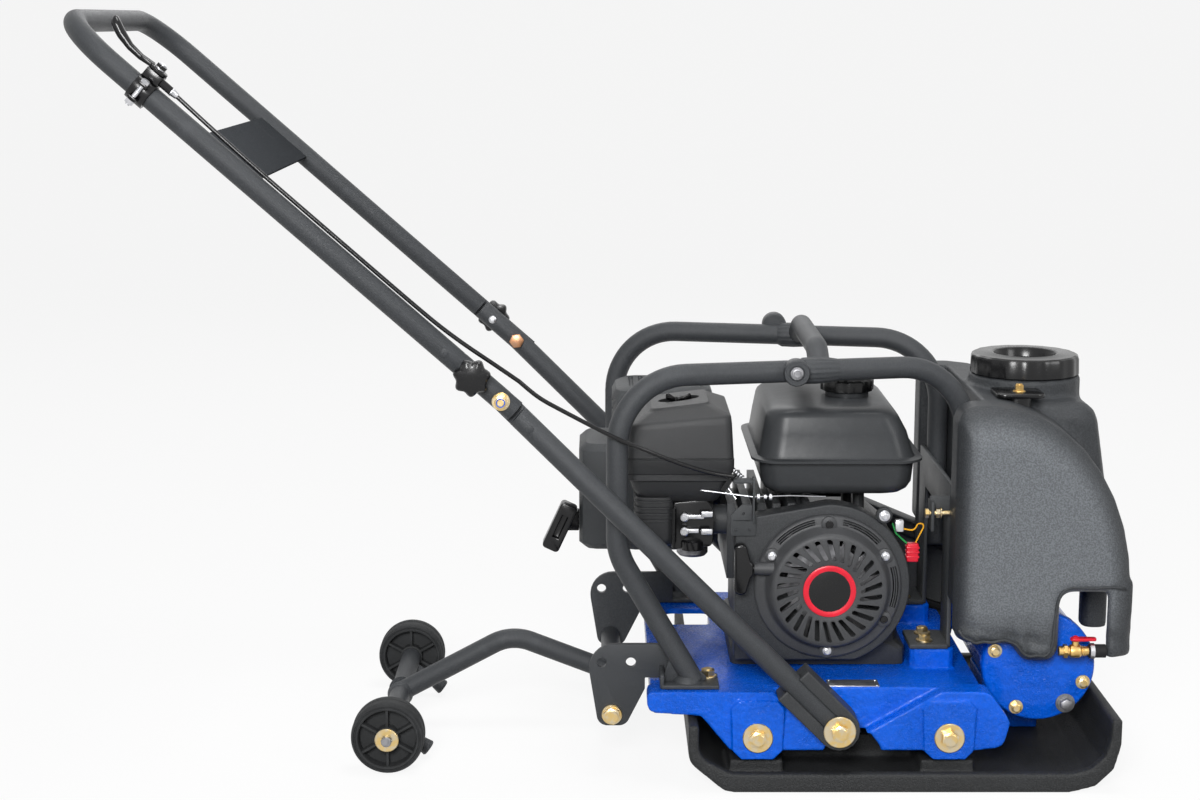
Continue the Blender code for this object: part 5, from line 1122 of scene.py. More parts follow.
class COMPACTOR_OT_recoil(bpy.types.Operator):
    """Slotted recoil cover with its bosses, vents and bare badge, and the pull grip"""

    bl_idname = "compactor.recoil"
    bl_label = "Recoil starter"

    base = -0.1386
    rim = 0.086
    face = 0.067
    depth = 0.027
    ledge = 0.008
    screw_circle = 0.0760

    def execute(self, context):
        self.cover(context.scene.compactor_shapes.slots)
        self.badge()
        self.screws()
        self.grip()
        return {"FINISHED"}

    def spot(self, degrees, radius, out=0.0):
        """A frame on the cover: local Z away from the engine, at an angle and radius round the crank."""
        turn = math.radians(degrees)
        return at(CRANK.x + radius * math.cos(turn), self.base - out,
                  CRANK.z + radius * math.sin(turn)) @ FACE_RIGHT

    def cover(self, slots):
        rim, face, depth, ledge = self.rim, self.face, self.depth, self.ledge
        wall = 0.003
        outer = [(rim - wall, 0), (rim, 0), (rim, ledge - 0.0034), (rim - 0.0014, ledge - 0.0012),
                 (rim - 0.0034, ledge - 0.0004), (face + 0.0088, ledge), (face + 0.0068, ledge + 0.0006),
                 (face + 0.0056, ledge + 0.0022), (face + 0.0014, depth - 0.0046),
                 (face + 0.0002, depth - 0.0022), (face - 0.0020, depth - 0.0006), (face - 0.0048, depth),
                 (0.0340, depth), (0.0325, depth - 0.0006), (0.0100, depth - 0.0006)]
        inner = [(0.0100, depth - wall), (face - 0.0050, depth - wall), (face - 0.0020, depth - wall - 0.002),
                 (face + 0.0050, ledge - wall), (rim - wall - 0.0005, ledge - wall - 0.0005)]
        shell = lathe(outer, None, 120)
        hollow = lathe([(rim - wall, -0.002)] + list(reversed(inner)), None, 120)
        carve(shell, hollow)
        slot_in, slot_out = face * 0.54, face * 0.90
        reach = slot_out - slot_in
        cutters = []
        for slot in range(slots):
            start()
            bpy.ops.mesh.primitive_cylinder_add(vertices=20, radius=0.0027, depth=0.012)
            cutter = bpy.context.object
            bpy.ops.object.mode_set(mode="EDIT")
            work = bmesh.from_edit_mesh(cutter.data)
            for point in work.verts:
                point.co.x *= 0.85
                if point.co.x > 0.0001:
                    point.co.x += reach - 0.0040
                    point.co.y = point.co.y * 1.25 + reach * 0.34
            bmesh.update_edit_mesh(cutter.data)
            bpy.ops.object.mode_set(mode="OBJECT")
            turn = 360 * slot / slots
            cutters.append(settle(cutter, spun(turn) @ at(slot_in + 0.0024, 0, depth)))
        for first, last in ((42, 78), (102, 138), (-18, 18)):
            for ring in (0.0818, 0.0792, 0.0766):
                cutters.append(self.arc(ring, first, last))
        carve(shell, joined(cutters))
        bosses = []
        for degrees in (30, 90, 150, 270, 330):
            bosses.append(settle(lathe([(0.0092, 0.001), (0.0088, ledge + 0.0026),
                                        (0.0072, ledge + 0.0036)], None, 32),
                                 spun(degrees) @ at(self.screw_circle, 0, 0)))
        rope_hole = [(0.0027, 0.030), (0.0027, 0.100)]
        rope_place = at(0, 0.024, 0.0139) @ FACE_REAR
        guide = lathe([(0.0080, 0.064), (0.0075, 0.082), (0.0062, 0.0868)], rope_place, 28)
        for thing in (shell, guide):
            carve(thing, lathe(rope_hole, rope_place, 24))
        dish = settle(joined([shell, guide] + bosses), at(CRANK.x, self.base, CRANK.z) @ FACE_RIGHT)
        piece(dish, "recoil_dish", "cover", CHASSIS, 38, ("recoil_cover",))

    def arc(self, radius, first, last):
        """A curved vent through the rim."""
        outline, steps = [], 8
        for edge, begin, end in ((radius + 0.0008, first, last), (radius - 0.0008, last, first)):
            for step in range(steps + 1):
                turn = math.radians(begin + (end - begin) * step / steps)
                outline.append((edge * math.cos(turn), edge * math.sin(turn)))
        return plate(outline, 0.008, at(0, 0, self.ledge - 0.0010))

    def badge(self):
        """Plain round badge with a red ring."""
        top = self.depth - 0.0008
        disc = lathe([(0.0250, top), (0.0248, top + 0.0010), (0.0240, top + 0.0013)], None, 72)
        piece(settle(disc, self.spot(0, 0)), "recoil_badge", "gloss", CHASSIS)
        ring = lathe([(0.0245, top), (0.0308, top), (0.0306, top + 0.0012), (0.0296, top + 0.0017),
                      (0.0262, top + 0.0017), (0.0252, top + 0.0012)], None, 72)
        piece(settle(ring, self.spot(0, 0)), "recoil_badge_ring", "red", CHASSIS)

    def screws(self):
        seat = self.ledge + 0.0034
        bright = scattered(bolt_head(0.0080, 0.0042, 0.0105, 0.0009),
                           [self.spot(turn, self.screw_circle, seat) @ spun(turn) for turn in (30, 150, 270)])
        piece(bright, "recoil_screws", "steel", CHASSIS, 30)
        dark = lathe([(0.0046, 0), (0.0046, 0.0014), (0.0040, 0.0020), (0.0024, 0.0020),
                      (0.0022, 0.0012)], None, 24)
        piece(scattered(dark, [self.spot(turn, self.screw_circle, seat) for turn in (90, 330)]),
              "recoil_dark_screws", "gloss", CHASSIS)

    def grip(self):
        """T-shaped pull grip on its rope."""
        x, y, z = -0.176, -0.1525, CRANK.z + 0.024
        half = 0.0300
        outline = rounded([(x - 0.0160, z - half, 0.0070), (x - 0.0030, z - half, 0.0055),
                           (x + 0.0025, z - 0.010, 0.008), (x + 0.0058, z - 0.0060, 0.003),
                           (x + 0.0058, z + 0.0060, 0.003), (x + 0.0025, z + 0.010, 0.008),
                           (x - 0.0030, z + half, 0.0055), (x - 0.0160, z + half, 0.0070)], 5)
        bar = plate([(u, -v) for u, v in outline], 0.016, at(0, y, 0) @ FACE_LEFT, 0.0042, 4)
        rope = lathe([(0.0021, 0.004), (0.0021, 0.090)], at(x, y, z) @ FACE_FRONT, 16)
        piece(joined([bar, rope]), "recoil_pull_grip", "gloss", "recoil_handle", 40,
              ("recoil_handle",))


class COMPACTOR_OT_fuel(bpy.types.Operator):
    """Pressed fuel tank with its seam and lobed cap"""

    bl_idname = "compactor.fuel"
    bl_label = "Fuel tank"

    def execute(self, context):
        low, seam, top = 0.324, 0.368, 0.428
        rise = top - seam
        # Height, inset, corner radius and how much more the front leans
        levels = ((low, 0.030, 0.016, 1.0), (low + 0.0008, 0.0235, 0.018, 1.0),
                  (low + 0.003, 0.0160, 0.020, 1.0), (low + 0.008, 0.0090, 0.024, 1.0),
                  (low + 0.016, 0.0045, 0.026, 1.0), (seam - 0.006, 0.0022, 0.028, 1.0),
                  (seam - 0.0030, 0.0020, 0.028, 1.0), (seam - 0.0022, -0.0055, 0.032, 1.0),
                  (seam - 0.0016, -0.0073, 0.033, 1.0), (seam + 0.0012, -0.0073, 0.033, 1.0),
                  (seam + 0.0018, -0.0055, 0.032, 1.0), (seam + 0.0024, 0.0005, 0.029, 1.2),
                  (seam + 0.0060, 0.0022, 0.028, 1.4), (seam + rise * 0.50, 0.0058, 0.028, 1.8),
                  (seam + rise * 0.80, 0.0092, 0.026, 2.2), (seam + rise * 0.88, 0.0112, 0.025, 2.1),
                  (seam + rise * 0.94, 0.0148, 0.024, 1.9), (seam + rise * 0.975, 0.0195, 0.022, 1.7),
                  (seam + rise * 0.992, 0.0255, 0.020, 1.6), (top, 0.0340, 0.018, 1.5),
                  (top + 0.0010, 0.0520, 0.014, 1.3))
        sections = [(z, box_outline(-0.164 + inset, 0.021 - inset * lean, -0.142 + inset, 0.088 - inset,
                                    radius)) for z, inset, radius, lean in levels]
        tank = loft(sections)
        mouth = at(-0.052, -0.040, 0)
        neck = lathe([(0.0262, top - 0.004), (0.0256, top + 0.006)], mouth, 48)
        piece(joined([tank, neck]), "fuel_tank_shell", "fuel", CHASSIS, 40, ("fuel_tank",))
        seat = 0.4343
        cap = lathe([(0.0290, seat), (0.0312, seat + 0.0012), (0.0314, seat + 0.0120),
                     (0.0300, seat + 0.0165), (0.0272, seat + 0.0190), (0.0180, seat + 0.0200)], None, 120)
        scallop(cap, 12, 0.022, 0.0265)
        piece(settle(cap, mouth), "fuel_cap_lobed", "gloss", "fuel_cap", 35, ("fuel_cap",))
        return {"FINISHED"}


class COMPACTOR_OT_intake(bpy.types.Operator):
    """Air cleaner, carburettor with its levers, and the throttle linkage"""

    bl_idname = "compactor.intake"
    bl_label = "Intake"

    rear, front = -0.318, -0.192
    right, left = -0.142, 0.006
    seam, top, fall = 0.352, 0.436, 0.016

    def execute(self, context):
        self.cleaner()
        self.elbow()
        self.carburettor()
        self.linkage()
        return {"FINISHED"}

    def outline(self, inset, radius):
        return box_outline(self.rear + inset, self.front - inset, self.right + inset,
                           self.left - inset, radius)

    def cleaner(self):
        seam, rise = self.seam, self.top - self.seam
        # Height over the seam, inset and corner radius
        levels = ((0.0003, 0.0006, 0.0095), (0.0012, 0, 0.010), (0.0172, 0, 0.010), (0.0178, 0.0013, 0.0095),
                  (0.0188, 0.0013, 0.0095), (0.0194, 0.0006, 0.0095), (rise * 0.70, 0.0030, 0.009),
                  (rise * 0.795, 0.0040, 0.009), (rise * 0.820, 0.0052, 0.009), (rise * 0.838, 0.0078, 0.009),
                  (rise * 0.960, 0.0250, 0.009), (rise * 0.972, 0.0275, 0.009), (rise, 0.0290, 0.009),
                  (rise + 0.0004, 0.0310, 0.009))
        shell = loft([(seam + up, self.outline(inset, radius)) for up, inset, radius in levels])
        for point in shell.data.vertices:
            back = (self.front - point.co.x) / (self.front - self.rear)
            point.co.z -= self.fall * back * max(0.0, (point.co.z - seam - 0.020) / rise) * 1.3
        x, y, z = -0.255, -0.068, self.top - 0.014
        well = lathe([(0.0170, z), (0.0190, z + 0.030)], None, 40)
        carve(shell, settle(well, at(x, y, 0) @ Matrix.Diagonal((1.4, 0.9, 1, 1))))
        piece(shell, "air_cleaner_lid", "cleaner", CHASSIS, 40, ("air_cleaner_cover",))
        nut = [lathe([(0.0055, 0), (0.0048, 0.008), (0.0035, 0.0095)], None, 24)]
        for way in WAYS:
            wing = rounded([(way * 0.003, -0.001, 0.001), (way * 0.0150, -0.0065, 0.003),
                            (way * 0.0150, -0.0160, 0.003), (way * 0.003, -0.0080, 0.001)], 4)
            nut.append(plate(wing, 0.0022, FACE_LEFT, 0.0006))
        piece(settle(joined(nut), at(x, y, z - 0.0006)), "air_cleaner_wing_nut", "gloss", CHASSIS)

    def elbow(self):
        """Ribbed base under the lid, turning in to the carburettor."""
        seam = self.seam
        # Height over the seam, inset and corner radius
        levels = ((-0.0360, 0.0200, 0.010), (-0.0350, 0.0180, 0.012), (-0.0200, 0.0080, 0.012),
                  (-0.0085, 0.0045, 0.012), (-0.0078, 0.0010, 0.012), (-0.0070, 0, 0.012),
                  (-0.0004, 0, 0.012), (0, 0.0004, 0.0118))
        tray = loft([(seam + up, self.outline(inset, radius)) for up, inset, radius in levels])
        low, high = 0.262, seam - 0.030
        neck_steps = ((0, 0.010), (0.06, 0.004), (0.18, 0.0), (1, 0.001))
        neck = loft([(low + share * (high - low),
                      box_outline(self.rear + 0.011 + inset, -0.262, -0.131 + inset, -0.042 - inset, 0.012))
                     for share, inset in neck_steps])
        rib_steps = ((0, 0.0012), (0.0005, 0), (0.0022, 0), (0.0027, 0.0012))
        ribs = []
        for step in range(4):
            z = high - 0.006 - step * 0.0075
            ribs.append(loft([(z + up, box_outline(self.rear + 0.0100 + inset, -0.2625, -0.1325 + inset,
                                                   -0.0410 - inset, 0.012)) for up, inset in rib_steps]))
        piece(joined([tray, neck] + ribs), "air_cleaner_elbow", "cleaner", CHASSIS, 40,
              ("air_cleaner_base",))

    def carburettor(self):
        """Body, bowl, side shield and the bright choke and fuel levers."""
        x, y, z = -0.238, -0.085, 0.286
        body = lathe([(0.0210, -0.0234), (0.0250, -0.0225), (0.0250, -0.0170), (0.0200, -0.0160),
                      (0.0200, 0.0150), (0.0240, 0.0160), (0.0240, 0.0225), (0.0210, 0.0235)],
                     at(x, y, z) @ FACE_FRONT, 48)
        bowl = lathe([(0.0200, 0.000), (0.0205, -0.018), (0.0196, -0.026), (0.0186, -0.0275),
                      (0.0186, -0.040), (0.0160, -0.043), (0.0060, -0.0445)], at(x, y, z), 48)
        piece(joined([body, bowl]), "carburettor_body", "iron", CHASSIS, 40, ("carburettor",))
        shield = rod((-0.2620, -0.1310, 0.262), (-0.2620, -0.1310, 0.310), 0.004)
        wall = plate(rounded([(-0.264, -0.258, 0.003), (-0.216, -0.262, 0.006), (-0.214, -0.300, 0.008),
                              (-0.222, -0.318, 0.008), (-0.262, -0.314, 0.004)], 5), 0.0024,
                     at(0, -0.1215, 0) @ FACE_LEFT, 0.0007)
        foot = lathe([(0.0130, 0), (0.0136, 0.002), (0.0136, 0.010), (0.0110, 0.012)],
                     at(-0.240, -0.119, 0.258), 36)
        piece(joined([shield, wall, foot]), "carburettor_shield", "gloss", CHASSIS)
        levers = []
        for low, long, lift in ((0.2960, 0.026, 0.003), (0.2790, 0.020, -0.001)):
            levers.append(block((-0.252, -0.1290, low), (-0.252 + long, -0.1240, low + 0.0055), 0.0012, 3))
            levers.append(lathe([(0.0050, 0), (0.0050, 0.0040), (0.0036, 0.0050)],
                                at(-0.249, -0.1285, low + 0.0028) @ FACE_RIGHT, 24))
            levers.append(block((-0.230, -0.1330, low + lift),
                                (-0.216, -0.1290, low + lift + 0.0075), 0.0015, 3))
        piece(joined(levers), "carburettor_levers", "steel", CHASSIS)

    def linkage(self):
        """Dark control plate with three rivets, its upright, the rods, spring and clip."""
        sheet = plate(rounded([(-0.196, -0.279, 0.003), (-0.1665, -0.279, 0.003), (-0.1665, -0.300, 0.003),
                               (-0.1690, -0.316, 0.003), (-0.184, -0.316, 0.005), (-0.196, -0.304, 0.003)],
                              4), 0.0026, at(0, -0.1402, 0) @ FACE_LEFT, 0.0006)
        upright = block((-0.1715, -0.1545, 0.2985), (-0.1690, -0.1390, 0.3500), 0.0008, 2)
        fold = block((-0.194, -0.1415, 0.2965), (-0.168, -0.1398, 0.2985), 0.0006, 2)
        rear = block((-0.1940, -0.1528, 0.3440), (-0.1700, -0.1390, 0.3480), 0.0008, 2)
        piece(joined([sheet, upright, fold, rear]), "control_plate", "sheet", CHASSIS, 35,
              ("control_bracket",))
        rivet = lathe([(0.0019, 0), (0.0018, 0.0006), (0.0010, 0.0012)], None, 16)
        spots = ((-0.1815, 0.3060), (-0.1900, 0.2865), (-0.1735, 0.2865))
        places = [at(x, -0.1414, z) @ FACE_RIGHT for x, z in spots]
        piece(scattered(rivet, places), "control_rivets", "engine", CHASSIS)
        rods = [rod((-0.2440, -0.1300, 0.3330), (-0.1710, -0.1460, 0.3270), 0.0022),
                tube([((-0.1690, -0.1460, 0.3270), 0), ((-0.1270, -0.1400, 0.3270), 0.010),
                      ((-0.0850, -0.1300, 0.3235), 0)], 0.0016, 10, 4),
                rod((-0.2150, -0.1260, 0.3560), (-0.1900, -0.1400, 0.3230), 0.0024)]
        for place, size in ((-0.1660, 0.0075), (-0.1580, 0.0060), (-0.1520, 0.0085)):
            rods.append(lathe([(size / 2, 0), (size / 2, 0.0030), (size / 2 - 0.0006, 0.0036)],
                              at(place, -0.1452, 0.3268) @ FACE_FRONT, 20))
        piece(joined(rods), "throttle_rods", "steel", CHASSIS)
        coil = [rod((-0.1995 + 0.0026 * turn, -0.1330, 0.3600 - 0.0022 * turn),
                    (-0.1982 + 0.0026 * turn, -0.1330, 0.3589 - 0.0022 * turn), 0.0080, 20)
                for turn in range(7)]
        piece(joined(coil), "throttle_spring", "steel", CHASSIS)
        arm = block((-0.2020, -0.1405, 0.3300), (-0.1955, -0.1360, 0.3560), 0.0010, 2,
                    tipped((-0.199, 0, 0.343), 35))
        piece(arm, "throttle_arm", "gloss", CHASSIS)


class COMPACTOR_OT_exhaust(bpy.types.Operator):
    """Guarded muffler with louvres, and the catch for the wheel arm"""

    bl_idname = "compactor.exhaust"
    bl_label = "Exhaust"

    def execute(self, context):
        guard = solid_copy("muffler")
        soft_edges(guard, 0.0016)
        slots = []
        for row in range(5):
            for column in range(3):
                y = 0.040 + column * 0.027
                slots.append(block((-0.345, y, 0.360 + row * 0.011),
                                   (-0.331, y + 0.020, 0.3645 + row * 0.011), 0.0016, 2))
        for row in range(8):
            slots.append(block((-0.312 + row * 0.012, 0.042, 0.4205),
                               (-0.3065 + row * 0.012, 0.118, 0.4300), 0.0018, 2))
        carve(guard, joined(slots))
        piece(guard, "muffler_guard", "sheet", CHASSIS, 35, ("muffler",))
        dressed("arm_catch", "gloss", bevel=0.0012)
        return {"FINISHED"}


class COMPACTOR_OT_wheels(bpy.types.Operator):
    """Two spoked wheels, their washers and the hitch bolt"""

    bl_idname = "compactor.wheels"
    bl_label = "Wheels"

    def execute(self, context):
        for side, way in SIDES:
            piece(self.wheel(at(AXLE.x, way * 0.160, AXLE.z) @ facing(way)), "wheel_tyre_" + side, "wheel",
                  "wheel_" + side, 32, ("wheel_" + side,))
        seats = [at(AXLE.x, way * 0.1786, AXLE.z) @ facing(way) for way in WAYS]
        piece(scattered(washer(0.0280, 0.0032), seats), "wheel_washers", "yellow", "wheel_arm")
        pin = joined([lathe([(0.0060, 0), (0.0060, 0.0082), (0.0052, 0.0090)], None, 32),
                      block((-0.0066, -0.0010, 0.0030), (0.0066, 0.0010, 0.0046), 0.0003, 2)])
        piece(scattered(pin, seats), "axle_ends", "iron", "wheel_arm")
        bolt = joined([bolt_head(0.018, 0.007, 0.024, 0.003),
                       lathe([(0.0059, -0.340), (0.0059, 0.001)], None, 28),
                       settle(hexagon(0.018, 0.010), at(0, 0, -0.3386) @ FACE_DOWN)])
        piece(settle(bolt, at(HITCH.x, -0.1643, HITCH.z) @ FACE_RIGHT @ spun(12)), "hitch_bolt_head",
              "yellow", CHASSIS, 30, ("hitch_bolt",))
        return {"FINISHED"}

    def wheel(self, place):
        half = [(0.0062, 0.0160), (0.0128, 0.0165), (0.0140, 0.0158), (0.0144, 0.0040), (0.0330, 0.0036),
                (0.0342, 0.0158), (0.0350, 0.0168), (0.0366, 0.0170), (0.0374, 0.0162), (0.0380, 0.0148),
                (0.0390, 0.0148), (0.0396, 0.0160), (0.0412, 0.0158), (0.0426, 0.0128), (0.0430, 0.0090),
                (0.0430, 0.0042), (0.0424, 0.0034), (0.0424, 0.0016)]
        profile = half + [(radius, -height) for radius, height in reversed(half)]
        body = lathe(profile, None, 96)
        spokes = []
        for spoke in range(6):
            blade = block((0.0135, -0.0016, -0.0150), (0.0345, 0.0016, 0.0150), 0.0006, 2)
            spokes.append(settle(blade, spun(60 * spoke + 30)))
        wheel = joined([body] + spokes)
        return settle(wheel, place)


class COMPACTOR_OT_handle_fittings(bpy.types.Operator):
    """Foot blocks, pivot and fold bolts, knobs and rivets of the handle"""

    bl_idname = "compactor.handle_fittings"
    bl_label = "Handle fittings"

    # Just off the tubes' outer sides, and how far up the knobs stand from the fold bolts
    outside, knob_up = 0.2350, 0.042

    def execute(self, context):
        for side, way in SIDES:
            dressed("foot_block_" + side, "engine", "handle_lower", voxel=0.0011, passes=4, kept=0.6)
            self.pivot_bolt(side, way, context.scene.compactor_shapes.bolt)
            self.fold_bolt(side, way)
            self.knob(side, way)
        return {"FINISHED"}

    def pivot_bolt(self, side, way, head):
        bolt = joined([bolt_head(head, 0.007, 0.037, 0.003),
                       lathe([(0.0058, -0.054), (0.0058, 0.001)], None, 28)])
        piece(settle(bolt, at(PIVOT.x, way * self.outside, PIVOT.z) @ facing(way) @ spun(8)),
              "pivot_bolt_head_" + side, "yellow", CHASSIS, 30, ("pivot_bolt_" + side,))

    def fold_bolt(self, side, way):
        """Through bolt with stacked washers and a locking nut outside and a hexagon head inside."""
        out = [washer(0.0205, 0.0020), raised(washer(0.0180, 0.0014), 0.0018),
               raised(hexagon(0.0135, 0.0058), 0.0030),
               lathe([(0.0064, 0.0080), (0.0060, 0.0098), (0.0052, 0.0102)], None, 32),
               lathe([(0.0040, -0.030), (0.0040, 0.0112), (0.0032, 0.0118)], None, 24)]
        place = at(FOLD.x, way * self.outside, FOLD.z) @ facing(way) @ spun(25)
        piece(settle(joined(out), place), "fold_bolt_nut_" + side, "yellow", "handle_lower",
              30, ("fold_bolt_" + side,))
        head = settle(hexagon(0.0165, 0.0064), place @ at(0, 0, -0.0258) @ FACE_DOWN)
        piece(head, "fold_bolt_head_" + side, "copper", "handle_lower", 30)
        ring = lathe([(0.0043, 0), (0.0052, 0), (0.0050, 0.0006), (0.0045, 0.0006)], None, 32)
        piece(settle(ring, at(FOLD.x, way * 0.2452, FOLD.z) @ facing(way)), "fold_nut_insert_" + side, "blue",
              "handle_lower")
        rivet = lathe([(0.0052, 0), (0.0050, 0.0010), (0.0034, 0.0022), (0.0016, 0.0024)], None, 28)
        place = on_grip(self.knob_up, way * (HANDLE_Y - TUBE / 2 + 0.0004), 0)
        piece(settle(rivet, at(*place) @ facing(-way)), "fold_rivet_" + side, "steel",
              "handle_lower")

    def knob(self, side, way):
        star = lathe([(0.0140, 0), (0.0180, 0.0006), (0.0192, 0.0030), (0.0194, 0.0090), (0.0186, 0.0122),
                      (0.0166, 0.0144), (0.0120, 0.0150), (0.0080, 0.0156), (0.0040, 0.0160)], None, 112)
        scallop(star, 7, 0.092, 0.0138)
        stem = lathe([(0.0042, -0.0122), (0.0042, 0.002)], None, 20)
        place = on_grip(self.knob_up, way * self.outside, 0)
        piece(settle(joined([star, stem]), at(*place) @ facing(way) @ spun(10)), "knob_star_" + side,
              "gloss", "knob_" + side, 40, ("knob_" + side,))


class COMPACTOR_OT_throttle(bpy.types.Operator):
    """Throttle clamp, lever and cable"""

    bl_idname = "compactor.throttle"
    bl_label = "Throttle"

    up = 0.514

    def execute(self, context):
        frame_here = grip_frame(self.up, -HANDLE_Y, 0)
        dressed("throttle_clamp", "gloss", "handle_upper", bevel=0.0007)
        self.lever()
        bolt = settle(bolt_head(0.0100, 0.0050, 0.0130, 0.0012), frame_here @ at(0, 0, 0.0302))
        ears = [block((-0.0060, 0.0130, low), (0.0060, 0.0262, low + 0.0035), 0.0008, 2)
                for low in (0.0070, -0.0115)]
        piece(settle(joined(ears), frame_here), "throttle_clamp_ears", "gloss", "handle_upper")
        pinch = joined([lathe([(0.0026, -0.0190), (0.0026, 0.0130)], None, 20),
                        raised(hexagon(0.0090, 0.0050), 0.0104),
                        raised(hexagon(0.0090, 0.0055), -0.0172)])
        pinch = settle(pinch, frame_here @ at(0, 0.0212, 0))
        barrel = settle(lathe([(0.0028, -0.0330), (0.0036, -0.0318), (0.0044, -0.0262), (0.0050, -0.0254),
                               (0.0050, -0.0246)], None, 24), frame_here @ at(0, 0, 0.01975) @ FACE_FRONT)
        piece(joined([bolt, pinch]), "throttle_bolts", "steel", "handle_upper", 30)
        piece(barrel, "throttle_ferrule", "steel", "handle_upper", 30)
        self.cables()
        return {"FINISHED"}

    def lever(self):
        """Thumb lever: a round hub and a bar that swells and lifts towards its tip."""
        long = 0.066
        bar = lathe([(0.0034, 0), (0.0038, 0.016), (0.0044, 0.032), (0.0058, 0.048), (0.0062, 0.057),
                     (0.0056, 0.0625), (0.0036, 0.0652), (0.0012, long)], FACE_FRONT, 24)
        for point in bar.data.vertices:
            share = point.co.x / long
            point.co.y = point.co.y * 1.15 - 0.0065 * share
            point.co.z += 0.0105 * share * share - 0.004 * math.sin(math.pi * share)
        hub = lathe([(0.0100, -0.0020), (0.0110, -0.0012), (0.0110, 0.0012), (0.0100, 0.0020)], None, 40)
        carve(hub, lathe([(0.0033, -0.01), (0.0033, 0.01)], None, 24))
        neck = block((0.0070, -0.0055, -0.0019), (0.0240, 0.0040, 0.0019), 0.0012, 3)
        thing = settle(joined([hub, neck, settle(bar, at(0.008, 0, 0.0008))]),
                       grip_frame(self.up, -HANDLE_Y, 0.028))
        piece(thing, "throttle_thumb_lever", "gloss", "throttle_lever", 40,
              ("throttle_lever",))

    def cables(self):
        """The two lengths of cable, which meet at the fold."""
        meet = on_grip(-0.0014, -0.2188, 0.0278)
        upper = [on_grip(0.4884, -HANDLE_Y, 0.0198), on_grip(0.440, -HANDLE_Y, 0.0180)]
        upper += [on_grip(along, -HANDLE_Y, 0.0162) for along in (0.360, 0.280, 0.200, 0.150)]
        upper += [on_grip(0.105, -HANDLE_Y, 0.0168), on_grip(0.068, -0.2215, 0.0198),
                  on_grip(0.034, -0.2205, 0.0240), meet]
        lower = [meet, (-0.4165, -0.2160, 0.4560), (-0.3845, -0.2105, 0.4375), (-0.3560, -0.2062, 0.4215),
                 (-0.3270, -0.2040, 0.4060), (-0.3000, -0.1990, 0.3945), (-0.2740, -0.1880, 0.3815),
                 (-0.2450, -0.1740, 0.3680), (-0.2180, -0.1600, 0.3575), (-0.1943, -0.1503, 0.3520)]
        self.cable(upper, "throttle_cable_upper", "handle_lower", "handle_upper", on_grip(0, 0, 0),
                   on_grip(0.09, 0, 0))
        self.cable(lower, "throttle_cable_lower", CHASSIS, "handle_lower", Vector(lower[-1]), meet)

    def cable(self, places, node, first, second, begin, end):
        thing = shade(flowing(places, 0.0050), 60)
        thing.name = node + "_sheath"
        thing.data.name = thing.name
        thing.data.materials.append(finishes()["gloss"])
        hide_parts(node)
        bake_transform(thing)


